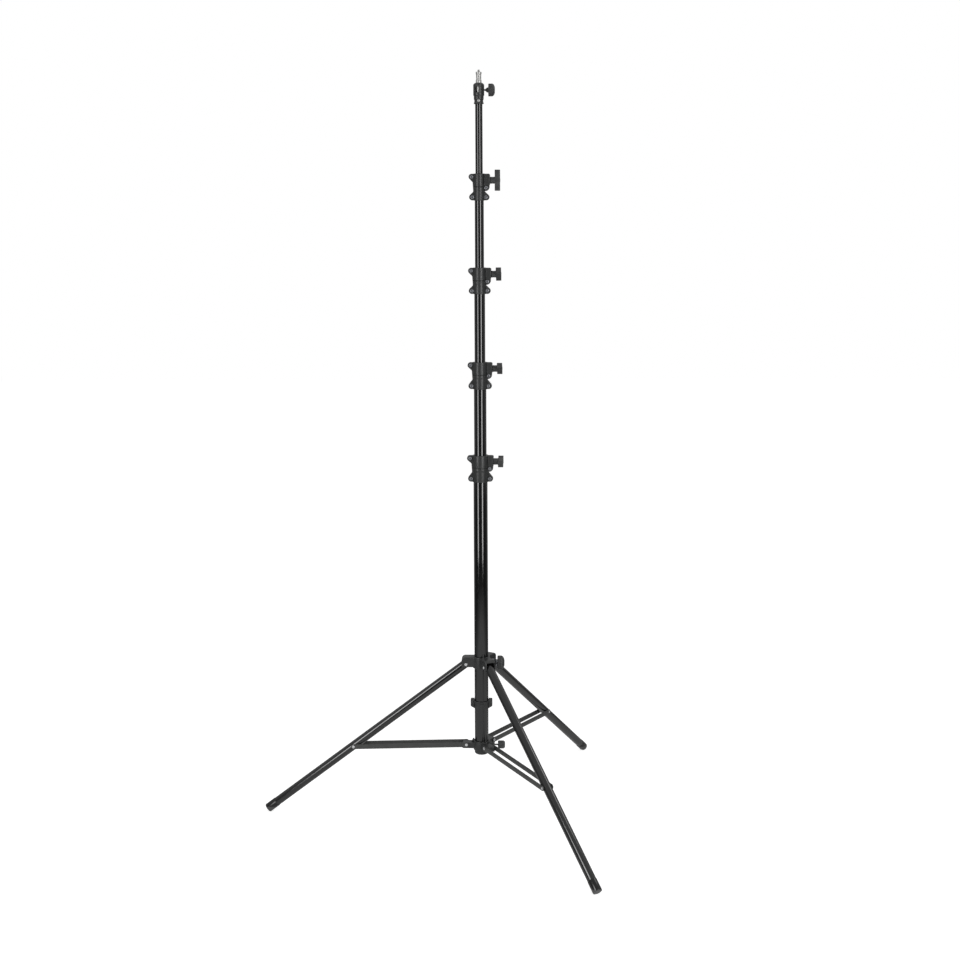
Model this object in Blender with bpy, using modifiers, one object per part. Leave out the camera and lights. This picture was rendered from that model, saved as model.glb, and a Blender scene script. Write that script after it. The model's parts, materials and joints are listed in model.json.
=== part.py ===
"""A five-section light stand on three folding legs, in metres, +Z up.

The column is a base tube and four risers. Each tube but the top one carries a clamp collar, cast in a
front and a back half, whose T-knob holds the next riser. The top riser carries a cast head with a
reversible spigot. The leg collar slides on the base tube and carries the legs, and the bottom collar
closes the tube's lower end and carries the stays. The legs' feet stand on the floor, which is Z = 0.
The column's axis stands at column_x(), so that the middle of the stand's box is over the origin.
"""

import math

import bmesh
import bpy
from mathutils import Matrix, Vector

# Column tubes, from the base tube up to the top riser
TUBE_DIAMETER = (0.040, 0.035, 0.030, 0.025, 0.020)
TUBE_WALL = 0.0015
BASE_TUBE_LENGTH = 0.837
RISER_LENGTH = 0.880
BARE_TUBE = (0.1883, 0.1900, 0.1832, 0.1862)
TUBE_GRIP = 0.042
PLUG_DEPTH = 0.020
PLUG_FLANGE = 0.006
PLUG_VENT_DIAMETER = 0.008

# Clearances: between fixed neighbours, round a sliding tube, and round a turning pin or screw
SEAT = 0.0003
SLIDE = 0.0004
RUN = 0.0003

# Riser collars, from the base tube up, with places measured from a collar's top or bottom
COLLAR_HEIGHT = (0.0764, 0.0762, 0.0732, 0.0731)
COLLAR_WALL = 0.0034
COLLAR_LOWER_WALL = 0.0027
COLLAR_SEAM_DROP = 0.039
COLLAR_SEAM_HEIGHT = 0.002
COLLAR_SPLIT = 0.0008
COLLAR_RIM_CHAMFER = 0.0012
EAR_THICKNESS = 0.006
EAR_RADIUS = 0.0088
EAR_EDGE_STEP = 0.0005
LOWER_BOLT_OUT = 0.007
UPPER_BOLT_OUT = 0.0092
WAIST_OUT = 0.0038
SHOULDER_OUT = 0.0054
SHOULDER_DROP = 0.0235
WAIST_DROP = 0.049
BOLT_FLATS = 0.0085
BOLT_HEAD = 0.0028
BOSS_OUT = 0.0174
BOSS_PROUD = 0.0012
BOSS_DROP = 0.0018
BOSS_HALF_WIDTH = 0.0118
BOSS_DEPTH = 0.032
BOSS_CORNER = 0.003
BOSS_EDGE = 0.0016
BOSS_ROUND_RADIUS = 0.012
BOSS_ROUND_DROP = 0.0355
BOSS_BOLT_OUT = 0.0065
BOSS_BOLT_DROP = 0.0384
KNOB_DROP = 0.0182

# T-knobs, and the pad that each presses on its riser
KNOB_TURN = (math.radians(68), math.radians(76), math.radians(68), 0.0)
KNOB_STEM_DIAMETER = 0.0188
KNOB_STEM_LENGTH = 0.013
KNOB_BAR_LENGTH = 0.057
KNOB_BAR_THICKNESS = 0.0148
KNOB_BAR_WIDTH = 0.015
KNOB_BAR_ROUND = 0.003
KNOB_SCREW_DIAMETER = 0.008
PAD_DIAMETER = 0.010
PAD_LENGTH = 0.006

# Head on the top riser, from its lower edge up, and the spigot in it
HEAD_GRIP = 0.015
HEAD_FLANGE_DIAMETER = 0.0274
HEAD_FLANGE_HEIGHT = 0.0041
HEAD_GROOVE_DIAMETER = 0.0244
HEAD_GROOVE_TOP = 0.0116
HEAD_NECK_DIAMETER = 0.027
HEAD_NECK_TOP = 0.0221
HEAD_DIAMETER = 0.030
HEAD_HEIGHT = 0.0556
HEAD_BEVEL = 0.0042
HEAD_WEB = 0.0037
HEAD_RIVET_HEIGHT = 0.0078
WINDOW_WIDTH = 0.0096
WINDOW_HEIGHT = 0.0162
WINDOW_DROP = 0.018
WINDOW_OFFSET = -0.0033
SPIGOT_DIAMETER = 0.016
SPIGOT_WAIST_DIAMETER = 0.014
SPIGOT_SHOWN = 0.0296
SPIGOT_BAND = 0.0052
SPIGOT_WAIST_LENGTH = 0.0135
SPIGOT_CONE = 0.002
SPIGOT_EDGE = 0.0008
SPIGOT_SEATED = 0.0275
STUD_DIAMETER = 0.00635
STUD_LENGTH = 0.0056
STUD_EDGE = 0.0005
LOWER_STUD_DIAMETER = 0.0095
LOWER_STUD_LENGTH = 0.0088

# Hand knob at the head
HEAD_KNOB_DROP = 0.0185
HEAD_KNOB_SCREW_DIAMETER = 0.005
HEAD_KNOB_HUB_FROM = 0.0180
HEAD_KNOB_HUB_TO = 0.0275
HEAD_KNOB_HUB_DIAMETER = 0.0134
HEAD_KNOB_TO = 0.0440
HEAD_KNOB_DIAMETER = 0.034
HEAD_KNOB_DOME = 0.005

# Legs: spread from the vertical, length from pivot to foot, and the azimuth of each
LEG_AZIMUTH = (math.radians(180), math.radians(300), math.radians(60))
LEG_SPREAD = math.radians(52.78)
LEG_LENGTH = 0.7424
LEG_TUBE_DIAMETER = 0.025
LEG_WALL = 0.0015
LEG_PIVOT_RADIUS = 0.0445
LEG_PIVOT_ABOVE_TUBE_END = 0.2588
LEG_ABOVE_PIVOT = 0.0125
FOOT_CAP_DIAMETER = 0.0264
FOOT_CAP_LENGTH = 0.034
FOOT_CAP_END = 0.003
FOOT_FLAT_DEPTH = 0.0015
FOOT_CAP_EDGE = 0.001

# Stays: two flat bars each, from the bottom collar to a pin part of the way down the leg
STAY_PIVOT_ALONG_LEG = 0.4168
STAY_INNER_RADIUS = 0.0445
STAY_INNER_DROP = 0.2435
STAY_BAR_HEIGHT = 0.014
STAY_BAR_THICKNESS = 0.0022
STAY_HALF_GAP = 0.0136

# Rivets
RIVET_DIAMETER = 0.006
RIVET_HEAD_DIAMETER = 0.0094
RIVET_HEAD_HEIGHT = 0.0015
HEAD_RIVET_DIAMETER = 0.004
HEAD_RIVET_HEAD_DIAMETER = 0.0070

# Leg collar, with heights measured from the leg pivots
LEG_COLLAR_WALL = 0.0055
LEG_COLLAR_BOTTOM = -0.012
LEG_COLLAR_TOP = 0.0222
LUG_BOTTOM = -0.0083
LUG_TOP = 0.0214
LUG_REACH = 0.0572
LUG_CORNER = 0.009
LUG_LOWER_CORNER = 0.002
LUG_CHEEK = 0.0036
LUG_SIDE_GAP = 0.0004
LUG_SWING_GAP = 0.0008
COLLAR_SCREW_BOSS_DIAMETER = 0.017
COLLAR_SCREW_BOSS_REACH = 0.042
LEG_KNOB_RISE = 0.002
LEG_KNOB_SCREW_DIAMETER = 0.008
LEG_KNOB_FROM = 0.0468
LEG_KNOB_TO = 0.0672
LEG_KNOB_DIAMETER = 0.042
LEG_KNOB_HUB_DIAMETER = 0.020
LEG_KNOB_HUB_LENGTH = 0.004
LEG_KNOB_DOME = 0.006
LEG_KNOB_EDGE = 0.0015

# Bottom collar, with heights measured from the stays' inner pivots
BOTTOM_COLLAR_WALL = 0.004
BOTTOM_COLLAR_TOP = 0.0105
BARREL_BOTTOM = -0.0172
CUP_WALL = 0.0008
CUP_FLOOR = 0.0150
CUP_ROUND = 0.012
DRAIN_DIAMETER = 0.006
TONGUE_TOP = 0.0056
TONGUE_BOTTOM = -0.0115
TONGUE_END = 0.0072
TONGUE_CORNER = 0.006
FIN_THICKNESS = 0.003
FIN_REACH = 0.0305
FIN_TOP = 0.016
BOTTOM_BOSS_DIAMETER = 0.013
BOTTOM_BOSS_REACH = 0.036
BOTTOM_KNOB_RISE = -0.0035
BOTTOM_KNOB_SCREW_DIAMETER = 0.005
BOTTOM_KNOB_FROM = 0.0475
BOTTOM_KNOB_TO = 0.0684
BOTTOM_KNOB_DIAMETER = 0.0235
BOTTOM_KNOB_ROUND = 0.006

# Stop ring on the base tube, between the two leg collars
RING_DROP = 0.1112
RING_HEIGHT = 0.0235
RING_BAND_DIAMETER = 0.0470
RING_BAND_HEIGHT = 0.0065
RING_FOOT_WALL = 0.0012
RING_EAR_REACH = 0.0315
RING_EAR_WIDTH = 0.014
RING_EAR_RISE = 0.0047
RING_EAR_HEIGHT = 0.0215
RING_EAR_CORNER = 0.0015
RING_WEB_DROP = 0.0065

# Facets round the column's tubes, the legs and collars, and the small pins
COLUMN_SEGMENTS = 32
ROUND_SEGMENTS = 24
PIN_SEGMENTS = 16
HEX_SEGMENTS = 6
ARC_SEGMENTS = 5
MERGE = 0.0001
WELD = 0.000005
CUT_PAST = 0.005


def tube_radius(k):
    return TUBE_DIAMETER[k] / 2


def tube_bore(k):
    """The inner radius of tube k."""
    return TUBE_DIAMETER[k] / 2 - TUBE_WALL


def leg_radius():
    return LEG_TUBE_DIAMETER / 2


def leg_pivot_z():
    """The height of the leg pivots, from which the flats on the foot caps lie on the floor."""
    drop = LEG_LENGTH * math.cos(LEG_SPREAD)
    return drop + FOOT_CAP_DIAMETER / 2 * math.sin(LEG_SPREAD) - FOOT_FLAT_DEPTH


def stay_inner_z():
    return leg_pivot_z() - STAY_INNER_DROP


def base_tube_bottom():
    return leg_pivot_z() - LEG_PIVOT_ABOVE_TUBE_END


def collar_bottom(k):
    """The lower edge of the collar on tube k."""
    if k == 0:
        return base_tube_bottom() + BASE_TUBE_LENGTH - TUBE_GRIP
    return collar_top(k - 1) + BARE_TUBE[k - 1]


def collar_top(k):
    return collar_bottom(k) + COLLAR_HEIGHT[k]


def head_bottom():
    return collar_top(3) + BARE_TUBE[3]


def riser_top(k):
    """The upper end of riser k, which is in its own collar, or in the head on the top riser."""
    if k == 4:
        return head_bottom() + HEAD_GRIP
    return collar_bottom(k) + TUBE_GRIP


def column_x():
    """The column's place in X, which puts the middle of the three feet's box at the origin."""
    radius = FOOT_CAP_DIAMETER / 2
    reach = LEG_PIVOT_RADIUS + LEG_LENGTH * math.sin(LEG_SPREAD)
    ends = []
    for sign in (1, -1):
        rims = []
        for azimuth in LEG_AZIMUTH:
            along = sign * math.cos(azimuth)
            rims.append(reach * along + radius * math.sqrt(1 - (math.sin(LEG_SPREAD) * along) ** 2))
        ends.append(sign * max(rims))
    return -(ends[0] + ends[1]) / 2


def stay_vector():
    """The way from a stay's inner pivot to its outer pin, in the leg's own upright plane."""
    outward = LEG_PIVOT_RADIUS + STAY_PIVOT_ALONG_LEG * math.sin(LEG_SPREAD) - STAY_INNER_RADIUS
    upward = STAY_INNER_DROP - STAY_PIVOT_ALONG_LEG * math.cos(LEG_SPREAD)
    return outward, upward


def clear_scene():
    for obj in list(bpy.data.objects):
        bpy.data.objects.remove(obj, do_unlink=True)


def new_collection(name):
    collection = bpy.data.collections.new(name)
    bpy.context.scene.collection.children.link(collection)
    return collection


def new_material(name, hex_colour, roughness, metallic):
    material = bpy.data.materials.new(name)
    material.use_nodes = True
    shader = material.node_tree.nodes["Principled BSDF"]
    levels = [int(hex_colour[i : i + 2], 16) / 255 for i in (0, 2, 4)]
    linear = [v / 12.92 if v <= 0.04045 else ((v + 0.055) / 1.055) ** 2.4 for v in levels]
    shader.inputs["Base Color"].default_value = (*linear, 1)
    shader.inputs["Roughness"].default_value = roughness
    shader.inputs["Metallic"].default_value = metallic
    return material


def new_empty(name, parent, location=(0, 0, 0), rotation=(0, 0, 0)):
    empty = bpy.data.objects.new(name, None)
    empty.empty_display_size = 0.02
    empty.parent = parent
    empty.location = location
    empty.rotation_euler = rotation
    PARTS.objects.link(empty)
    return empty


def new_part(name, mesh, material, parent, location=(0, 0, 0), rotation=(0, 0, 0)):
    mesh.materials.append(MATERIALS[material])
    obj = bpy.data.objects.new(name, mesh)
    obj.parent = parent
    obj.location = location
    obj.rotation_euler = rotation
    PARTS.objects.link(obj)
    return obj


def new_cutter(name, mesh, parent, location=(0, 0, 0), rotation=(0, 0, 0)):
    obj = bpy.data.objects.new(name, mesh)
    obj.parent = parent
    obj.location = location
    obj.rotation_euler = rotation
    obj.hide_render = True
    obj.display_type = "WIRE"
    CUTTERS.objects.link(obj)
    return obj


def combine(obj, other, operation):
    modifier = obj.modifiers.new(operation.lower() + "_" + other.name, "BOOLEAN")
    modifier.operation = operation
    modifier.object = other
    modifier.solver = "EXACT"
    weld = obj.modifiers.new("weld_" + other.name, "WELD")
    weld.merge_threshold = WELD


def mesh_of(bm, name):
    mesh = bpy.data.meshes.new(name)
    bm.normal_update()
    bm.to_mesh(mesh)
    bm.free()
    return mesh


def smooth(mesh):
    mesh.shade_smooth()
    mesh.set_sharp_from_angle(angle=math.radians(35))
    return mesh


def add_rod(bm, start, end, radius, segments=PIN_SEGMENTS, end_radius=None):
    """A cylinder or cone from start to end. Its first facet's corner points along the frame's own X or Y."""
    start, end = Vector(start), Vector(end)
    turn = (end - start).to_track_quat("Z", "Y").to_matrix().to_4x4()
    bmesh.ops.create_cone(
        bm,
        cap_ends=True,
        segments=segments,
        radius1=radius,
        radius2=radius if end_radius is None else end_radius,
        depth=(end - start).length,
        matrix=Matrix.Translation((start + end) / 2) @ turn,
    )


def add_box(bm, low, high):
    low, high = Vector(low), Vector(high)
    size = high - low
    scale = Matrix.Diagonal((size.x, size.y, size.z, 1))
    return bmesh.ops.create_cube(bm, size=1, matrix=Matrix.Translation((low + high) / 2) @ scale)


def rod_mesh(name, start, end, radius, segments=PIN_SEGMENTS):
    bm = bmesh.new()
    add_rod(bm, start, end, radius, segments)
    return smooth(mesh_of(bm, name))


def box_mesh(name, low, high, bevel=0.0, bevel_segments=2):
    bm = bmesh.new()
    add_box(bm, low, high)
    if bevel:
        bmesh.ops.bevel(
            bm, geom=bm.edges[:], offset=bevel, segments=bevel_segments, profile=0.5, affect="EDGES"
        )
    return mesh_of(bm, name)


def turned(name, profile, closed, segments=ROUND_SEGMENTS):
    """A mesh of one profile, as (radius, height) pairs that run down the outer side, ready for a Screw."""
    bm = bmesh.new()
    points = [bm.verts.new((radius, 0, height)) for radius, height in profile]
    for first, second in zip(points, points[1:]):
        bm.edges.new((first, second))
    if closed:
        bm.edges.new((points[-1], points[0]))
    mesh = mesh_of(bm, name)
    mesh["segments"] = segments
    return mesh


def spin(obj):
    """Turns the object's profile a full circle about its own Z."""
    screw = obj.modifiers.new("turn", "SCREW")
    screw.axis = "Z"
    screw.angle = 2 * math.pi
    screw.steps = obj.data["segments"]
    screw.render_steps = screw.steps
    screw.use_merge_vertices = True
    screw.merge_threshold = MERGE
    screw.use_smooth_shade = False
    return obj


def arc(centre_x, centre_z, radius, first_degrees, last_degrees):
    """Points on an arc, both ends included."""
    points = []
    for i in range(ARC_SEGMENTS + 1):
        angle = math.radians(first_degrees + (last_degrees - first_degrees) * i / ARC_SEGMENTS)
        points.append((centre_x + radius * math.cos(angle), centre_z + radius * math.sin(angle)))
    return points


def plate_mesh(name, outline, half_thickness):
    """A flat plate in the XZ plane, as thick on each side of it, from an outline of (x, z) points."""
    curve = bpy.data.curves.new(name, "CURVE")
    curve.dimensions = "2D"
    curve.fill_mode = "BOTH"
    curve.extrude = half_thickness
    spline = curve.splines.new("POLY")
    spline.points.add(len(outline) - 1)
    for point, (x, z) in zip(spline.points, outline):
        point.co = (x, z, 0, 1)
    spline.use_cyclic_u = True
    carrier = bpy.data.objects.new(name, curve)
    CUTTERS.objects.link(carrier)
    bpy.context.view_layer.update()
    graph = bpy.context.evaluated_depsgraph_get()
    flat = bpy.data.meshes.new_from_object(carrier.evaluated_get(graph))
    bpy.data.objects.remove(carrier, do_unlink=True)
    bm = bmesh.new()
    bm.from_mesh(flat)
    bmesh.ops.remove_doubles(bm, verts=bm.verts, dist=MERGE / 10)
    bmesh.ops.rotate(bm, verts=bm.verts, cent=(0, 0, 0), matrix=Matrix.Rotation(math.pi / 2, 3, "X"))
    bmesh.ops.recalc_face_normals(bm, faces=bm.faces[:])
    bpy.data.meshes.remove(flat)
    return mesh_of(bm, name)


def add_tube(name, k, bottom, top, material, parent):
    outer, inner = tube_radius(k), tube_bore(k)
    profile = [(outer, top), (outer, bottom), (inner, bottom), (inner, top)]
    mesh = turned(name, profile, True, COLUMN_SEGMENTS)
    return spin(new_part(name, mesh, material, parent))


def add_guide_plug(k):
    """A plug in the lower end of riser k, whose flange runs in the tube round it."""
    end = riser_top(k) - RISER_LENGTH
    flange, inside = tube_bore(k - 1) - SLIDE, tube_bore(k) - SEAT
    vent = PLUG_VENT_DIAMETER / 2
    profile = [
        (vent, end + PLUG_DEPTH),
        (inside, end + PLUG_DEPTH),
        (inside, end - SEAT),
        (flange, end - SEAT),
        (flange, end - SEAT - PLUG_FLANGE),
        (vent, end - SEAT - PLUG_FLANGE),
    ]
    mesh = turned(f"riser_{k}_guide_plug", profile, True, COLUMN_SEGMENTS)
    spin(new_part(mesh.name, mesh, "nylon", SECTIONS[k]))


def collar_outline(k):
    """The collar's flange seen from the front: two lower ears, the knob boss and the upper left ear."""
    r, top, bottom = tube_radius(k), collar_top(k), collar_bottom(k)
    ear = EAR_RADIUS
    low, high = bottom + ear + EAR_EDGE_STEP, top - ear - EAR_EDGE_STEP
    right, corner = r + BOSS_OUT, BOSS_CORNER
    round_x, round_z = right - BOSS_ROUND_RADIUS, top - BOSS_ROUND_DROP
    return (
        arc(-r - LOWER_BOLT_OUT, low, ear, 140, 270)
        + arc(r + LOWER_BOLT_OUT, low, ear, 270, 400)
        + [(r + WAIST_OUT, top - WAIST_DROP)]
        + arc(round_x, round_z, BOSS_ROUND_RADIUS, 265, 360)
        + arc(right - corner, top - corner - EAR_EDGE_STEP, corner, 0, 90)
        + arc(-r - UPPER_BOLT_OUT, high, ear, 90, 220)
        + [(-r - SHOULDER_OUT, top - SHOULDER_DROP), (-r - WAIST_OUT, top - WAIST_DROP)]
    )


def collar_bolts(k):
    """The (x, z) of the collar's four bolts."""
    r, top, bottom = tube_radius(k), collar_top(k), collar_bottom(k)
    low = bottom + EAR_RADIUS + EAR_EDGE_STEP
    return (
        (-r - LOWER_BOLT_OUT, low),
        (r + LOWER_BOLT_OUT, low),
        (r + BOSS_BOLT_OUT, top - BOSS_BOLT_DROP),
        (-r - UPPER_BOLT_OUT, top - EAR_RADIUS - EAR_EDGE_STEP),
    )


def barrel_mesh(k, name):
    r, top, bottom = tube_radius(k), collar_top(k), collar_bottom(k)
    seam, rim = top - COLLAR_SEAM_DROP, COLLAR_RIM_CHAMFER
    profile = [
        (0, top),
        (r + COLLAR_WALL - rim, top),
        (r + COLLAR_WALL, top - rim),
        (r + COLLAR_WALL, seam),
        (r + COLLAR_LOWER_WALL - rim / 2, seam - COLLAR_SEAM_HEIGHT / 2),
        (r + COLLAR_LOWER_WALL, seam - COLLAR_SEAM_HEIGHT),
        (r + COLLAR_LOWER_WALL, bottom + rim),
        (r + COLLAR_LOWER_WALL - rim, bottom),
        (0, bottom),
    ]
    return turned(name, profile, False, COLUMN_SEGMENTS)


def add_collar(k):
    """The two cast halves of the collar on tube k, with the heads and nuts of the bolts through their ears."""
    number, section = k + 1, SECTIONS[k]
    r, riser, top, bottom = tube_radius(k), tube_radius(k + 1), collar_top(k), collar_bottom(k)
    seat_top = bottom + TUBE_GRIP + SEAT
    past = CUT_PAST
    flange = new_cutter(
        f"collar_{number}_flange", plate_mesh("flange", collar_outline(k), EAR_THICKNESS), section
    )
    boss = new_cutter(
        f"collar_{number}_boss",
        box_mesh(
            "boss",
            (r, -BOSS_HALF_WIDTH, top - BOSS_DEPTH),
            (r + BOSS_OUT + BOSS_PROUD, BOSS_HALF_WIDTH, top - BOSS_DROP),
            BOSS_EDGE,
        ),
        section,
    )
    bore_profile = [
        (0, top + past),
        (riser + SLIDE, top + past),
        (riser + SLIDE, seat_top),
        (r + SEAT, seat_top),
        (r + SEAT, bottom - past),
        (0, bottom - past),
    ]
    bore = spin(
        new_cutter(
            f"collar_{number}_bore", turned("bore", bore_profile, False, COLUMN_SEGMENTS), section
        )
    )
    knob_z = top - KNOB_DROP
    pad_end = riser + SLIDE + PAD_LENGTH + 2 * SEAT
    bm = bmesh.new()
    add_rod(bm, (riser / 2, 0, knob_z), (pad_end, 0, knob_z), PAD_DIAMETER / 2 + RUN)
    pad_bore = new_cutter(f"collar_{number}_pad_bore", mesh_of(bm, "pad_bore"), section)
    bm = bmesh.new()
    add_rod(bm, (riser, 0, knob_z), (r + BOSS_OUT + past, 0, knob_z), KNOB_SCREW_DIAMETER / 2 + RUN)
    screw_bore = new_cutter(f"collar_{number}_screw_bore", mesh_of(bm, "screw_bore"), section)
    wide = r + BOSS_OUT + past
    for side, label in ((-1, "front"), (1, "back")):
        name = f"collar_{number}_{label}_half"
        half = spin(new_part(name, barrel_mesh(k, name), "cast_alloy", section))
        near, far = sorted((side * COLLAR_SPLIT / 2, side * wide))
        keep = new_cutter(
            f"collar_{number}_{label}_side",
            box_mesh("side", (-wide - past, near, bottom - past), (wide, far, top + past)),
            section,
        )
        bm = bmesh.new()
        for x, z in collar_bolts(k):
            reach = side * (EAR_THICKNESS + BOLT_HEAD)
            start = side * EAR_THICKNESS / 2
            add_rod(bm, (x, start, z), (x, reach, z), BOLT_FLATS / math.sqrt(3), HEX_SEGMENTS)
        heads = new_cutter(f"collar_{number}_{label}_bolts", mesh_of(bm, "bolts"), section)
        combine(half, flange, "UNION")
        combine(half, boss, "UNION")
        combine(half, bore, "DIFFERENCE")
        combine(half, pad_bore, "DIFFERENCE")
        combine(half, screw_bore, "DIFFERENCE")
        combine(half, keep, "INTERSECT")
        combine(half, heads, "UNION")


def add_collar_knob(k):
    """The T-knob on its screw, and the pad between the screw and the riser."""
    number, section = k + 1, SECTIONS[k]
    riser, face = tube_radius(k + 1), tube_radius(k) + BOSS_OUT + BOSS_PROUD
    knob_z = collar_top(k) - KNOB_DROP
    pad_from = riser + SLIDE
    pad_to = pad_from + PAD_LENGTH
    axis = new_empty(f"knob_{number}_axis", section, (0, 0, knob_z), (KNOB_TURN[k], 0, 0))
    stem_from = face + SEAT
    stem_to = stem_from + KNOB_STEM_LENGTH
    screw, stem = KNOB_SCREW_DIAMETER / 2, KNOB_STEM_DIAMETER / 2
    profile = [
        (0, stem_to + KNOB_BAR_THICKNESS / 2),
        (stem, stem_to + KNOB_BAR_THICKNESS / 2),
        (stem, stem_from),
        (screw, stem_from),
        (screw, pad_to + SEAT),
        (0, pad_to + SEAT),
    ]
    name = f"collar_{number}_t_knob"
    knob = new_part(name, turned(name, profile, False), "moulded_plastic", axis, (0, 0, 0), (0, math.pi / 2, 0))
    spin(knob)
    bar = new_cutter(
        f"collar_{number}_knob_bar",
        box_mesh(
            "knob_bar",
            (stem_to, -KNOB_BAR_WIDTH / 2, -KNOB_BAR_LENGTH / 2),
            (stem_to + KNOB_BAR_THICKNESS, KNOB_BAR_WIDTH / 2, KNOB_BAR_LENGTH / 2),
            KNOB_BAR_ROUND,
        ),
        axis,
    )
    combine(knob, bar, "UNION")
    name = f"collar_{number}_clamp_pad"
    pad = rod_mesh(name, (riser / 2, 0, knob_z), (pad_to, 0, knob_z), PAD_DIAMETER / 2)
    pad = new_part(name, pad, "nylon", section)
    room = [
        (0, knob_z + PAD_DIAMETER),
        (riser + SLIDE, knob_z + PAD_DIAMETER),
        (riser + SLIDE, knob_z - PAD_DIAMETER),
        (0, knob_z - PAD_DIAMETER),
    ]
    hollow = new_cutter(
        f"collar_{number}_pad_hollow", turned("pad_hollow", room, False, COLUMN_SEGMENTS), section
    )
    combine(pad, spin(hollow), "DIFFERENCE")


def add_head():
    """The cast head on the top riser, with its window, and the rivet that holds it."""
    section, base = SECTIONS[4], head_bottom()
    riser, socket = tube_radius(4) + SEAT, SPIGOT_DIAMETER / 2 + RUN
    web = HEAD_GRIP + SEAT
    heights_and_radii = [
        (0, web + HEAD_WEB),
        (socket, web + HEAD_WEB),
        (socket, HEAD_HEIGHT),
        (HEAD_DIAMETER / 2 - HEAD_BEVEL, HEAD_HEIGHT),
        (HEAD_DIAMETER / 2, HEAD_HEIGHT - HEAD_BEVEL),
        (HEAD_DIAMETER / 2, HEAD_NECK_TOP),
        (HEAD_NECK_DIAMETER / 2, HEAD_NECK_TOP),
        (HEAD_NECK_DIAMETER / 2, HEAD_GROOVE_TOP),
        (HEAD_GROOVE_DIAMETER / 2, HEAD_GROOVE_TOP),
        (HEAD_GROOVE_DIAMETER / 2, HEAD_FLANGE_HEIGHT),
        (HEAD_FLANGE_DIAMETER / 2, HEAD_FLANGE_HEIGHT),
        (HEAD_FLANGE_DIAMETER / 2, 0),
        (riser, 0),
        (riser, web),
        (0, web),
    ]
    profile = [(radius, base + height) for radius, height in heights_and_radii]
    mesh = turned("spigot_head", profile, False, COLUMN_SEGMENTS)
    head = spin(new_part("spigot_head", mesh, "cast_alloy", section))
    half_width, wide = WINDOW_WIDTH / 2, HEAD_DIAMETER
    rise = WINDOW_HEIGHT / 2 - half_width
    window_z = base + HEAD_HEIGHT - WINDOW_DROP
    slot = arc(WINDOW_OFFSET, window_z + rise, half_width, 0, 180) + arc(
        WINDOW_OFFSET, window_z - rise, half_width, 180, 360
    )
    window = new_cutter("head_window", plate_mesh("window", slot, wide / 2), section, (0, -wide / 2, 0))
    combine(head, window, "DIFFERENCE")
    knob_z = base + HEAD_HEIGHT - HEAD_KNOB_DROP
    knob_bore = rod_mesh(
        "knob_bore", (0, 0, knob_z), (wide, 0, knob_z), HEAD_KNOB_SCREW_DIAMETER / 2 + RUN
    )
    combine(head, new_cutter("head_knob_bore", knob_bore, section), "DIFFERENCE")
    rivet_z, shank = base + HEAD_RIVET_HEIGHT, HEAD_RIVET_DIAMETER / 2
    hole = rod_mesh("rivet_bore", (0, -wide, rivet_z), (0, wide, rivet_z), shank + RUN)
    hole = new_cutter("head_rivet_bore", hole, section)
    combine(head, hole, "DIFFERENCE")
    combine(bpy.data.objects["riser_4_tube"], hole, "DIFFERENCE")
    add_rivet(
        "head_rivet",
        section,
        (0, 0, rivet_z),
        HEAD_GROOVE_DIAMETER / 2 + SEAT,
        shank,
        HEAD_RIVET_HEAD_DIAMETER / 2,
    )


def add_rivet(name, parent, centre, grip, shank, head):
    """A rivet along Y through centre, which grips the same distance on each side."""
    height = RIVET_HEAD_HEIGHT
    profile = [
        (0, grip + height),
        (head * 0.55, grip + height),
        (head, grip + height / 3),
        (head, grip),
        (shank, grip),
        (shank, -grip),
        (head, -grip),
        (head, -grip - height / 3),
        (head * 0.55, -grip - height),
        (0, -grip - height),
    ]
    mesh = turned(name, profile, False, PIN_SEGMENTS)
    return spin(new_part(name, mesh, "zinc_plate", parent, centre, (math.pi / 2, 0, 0)))


def add_spigot():
    """The reversible spigot: a stud at each end, and a waist where a lamp's own screw holds it."""
    base = head_bottom() + HEAD_HEIGHT
    shoulder = base + SPIGOT_SHOWN
    radius, waist = SPIGOT_DIAMETER / 2, SPIGOT_WAIST_DIAMETER / 2
    stud, lower = STUD_DIAMETER / 2, LOWER_STUD_DIAMETER / 2
    band = shoulder - SPIGOT_BAND
    waist_bottom = band - SPIGOT_CONE - SPIGOT_WAIST_LENGTH
    seat = base - SPIGOT_SEATED
    profile = [
        (0, shoulder + STUD_LENGTH),
        (stud - STUD_EDGE, shoulder + STUD_LENGTH),
        (stud, shoulder + STUD_LENGTH - STUD_EDGE),
        (stud, shoulder),
        (radius - SPIGOT_EDGE, shoulder),
        (radius, shoulder - SPIGOT_EDGE),
        (radius, band),
        (waist, band - SPIGOT_CONE),
        (waist, waist_bottom),
        (radius, waist_bottom - SPIGOT_CONE),
        (radius, seat),
        (lower, seat),
        (lower, seat - LOWER_STUD_LENGTH),
        (0, seat - LOWER_STUD_LENGTH),
    ]
    axis = new_empty("spigot_axis", SECTIONS[4])
    spin(new_part("spigot", turned("spigot", profile, False), "zinc_plate", axis))


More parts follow.
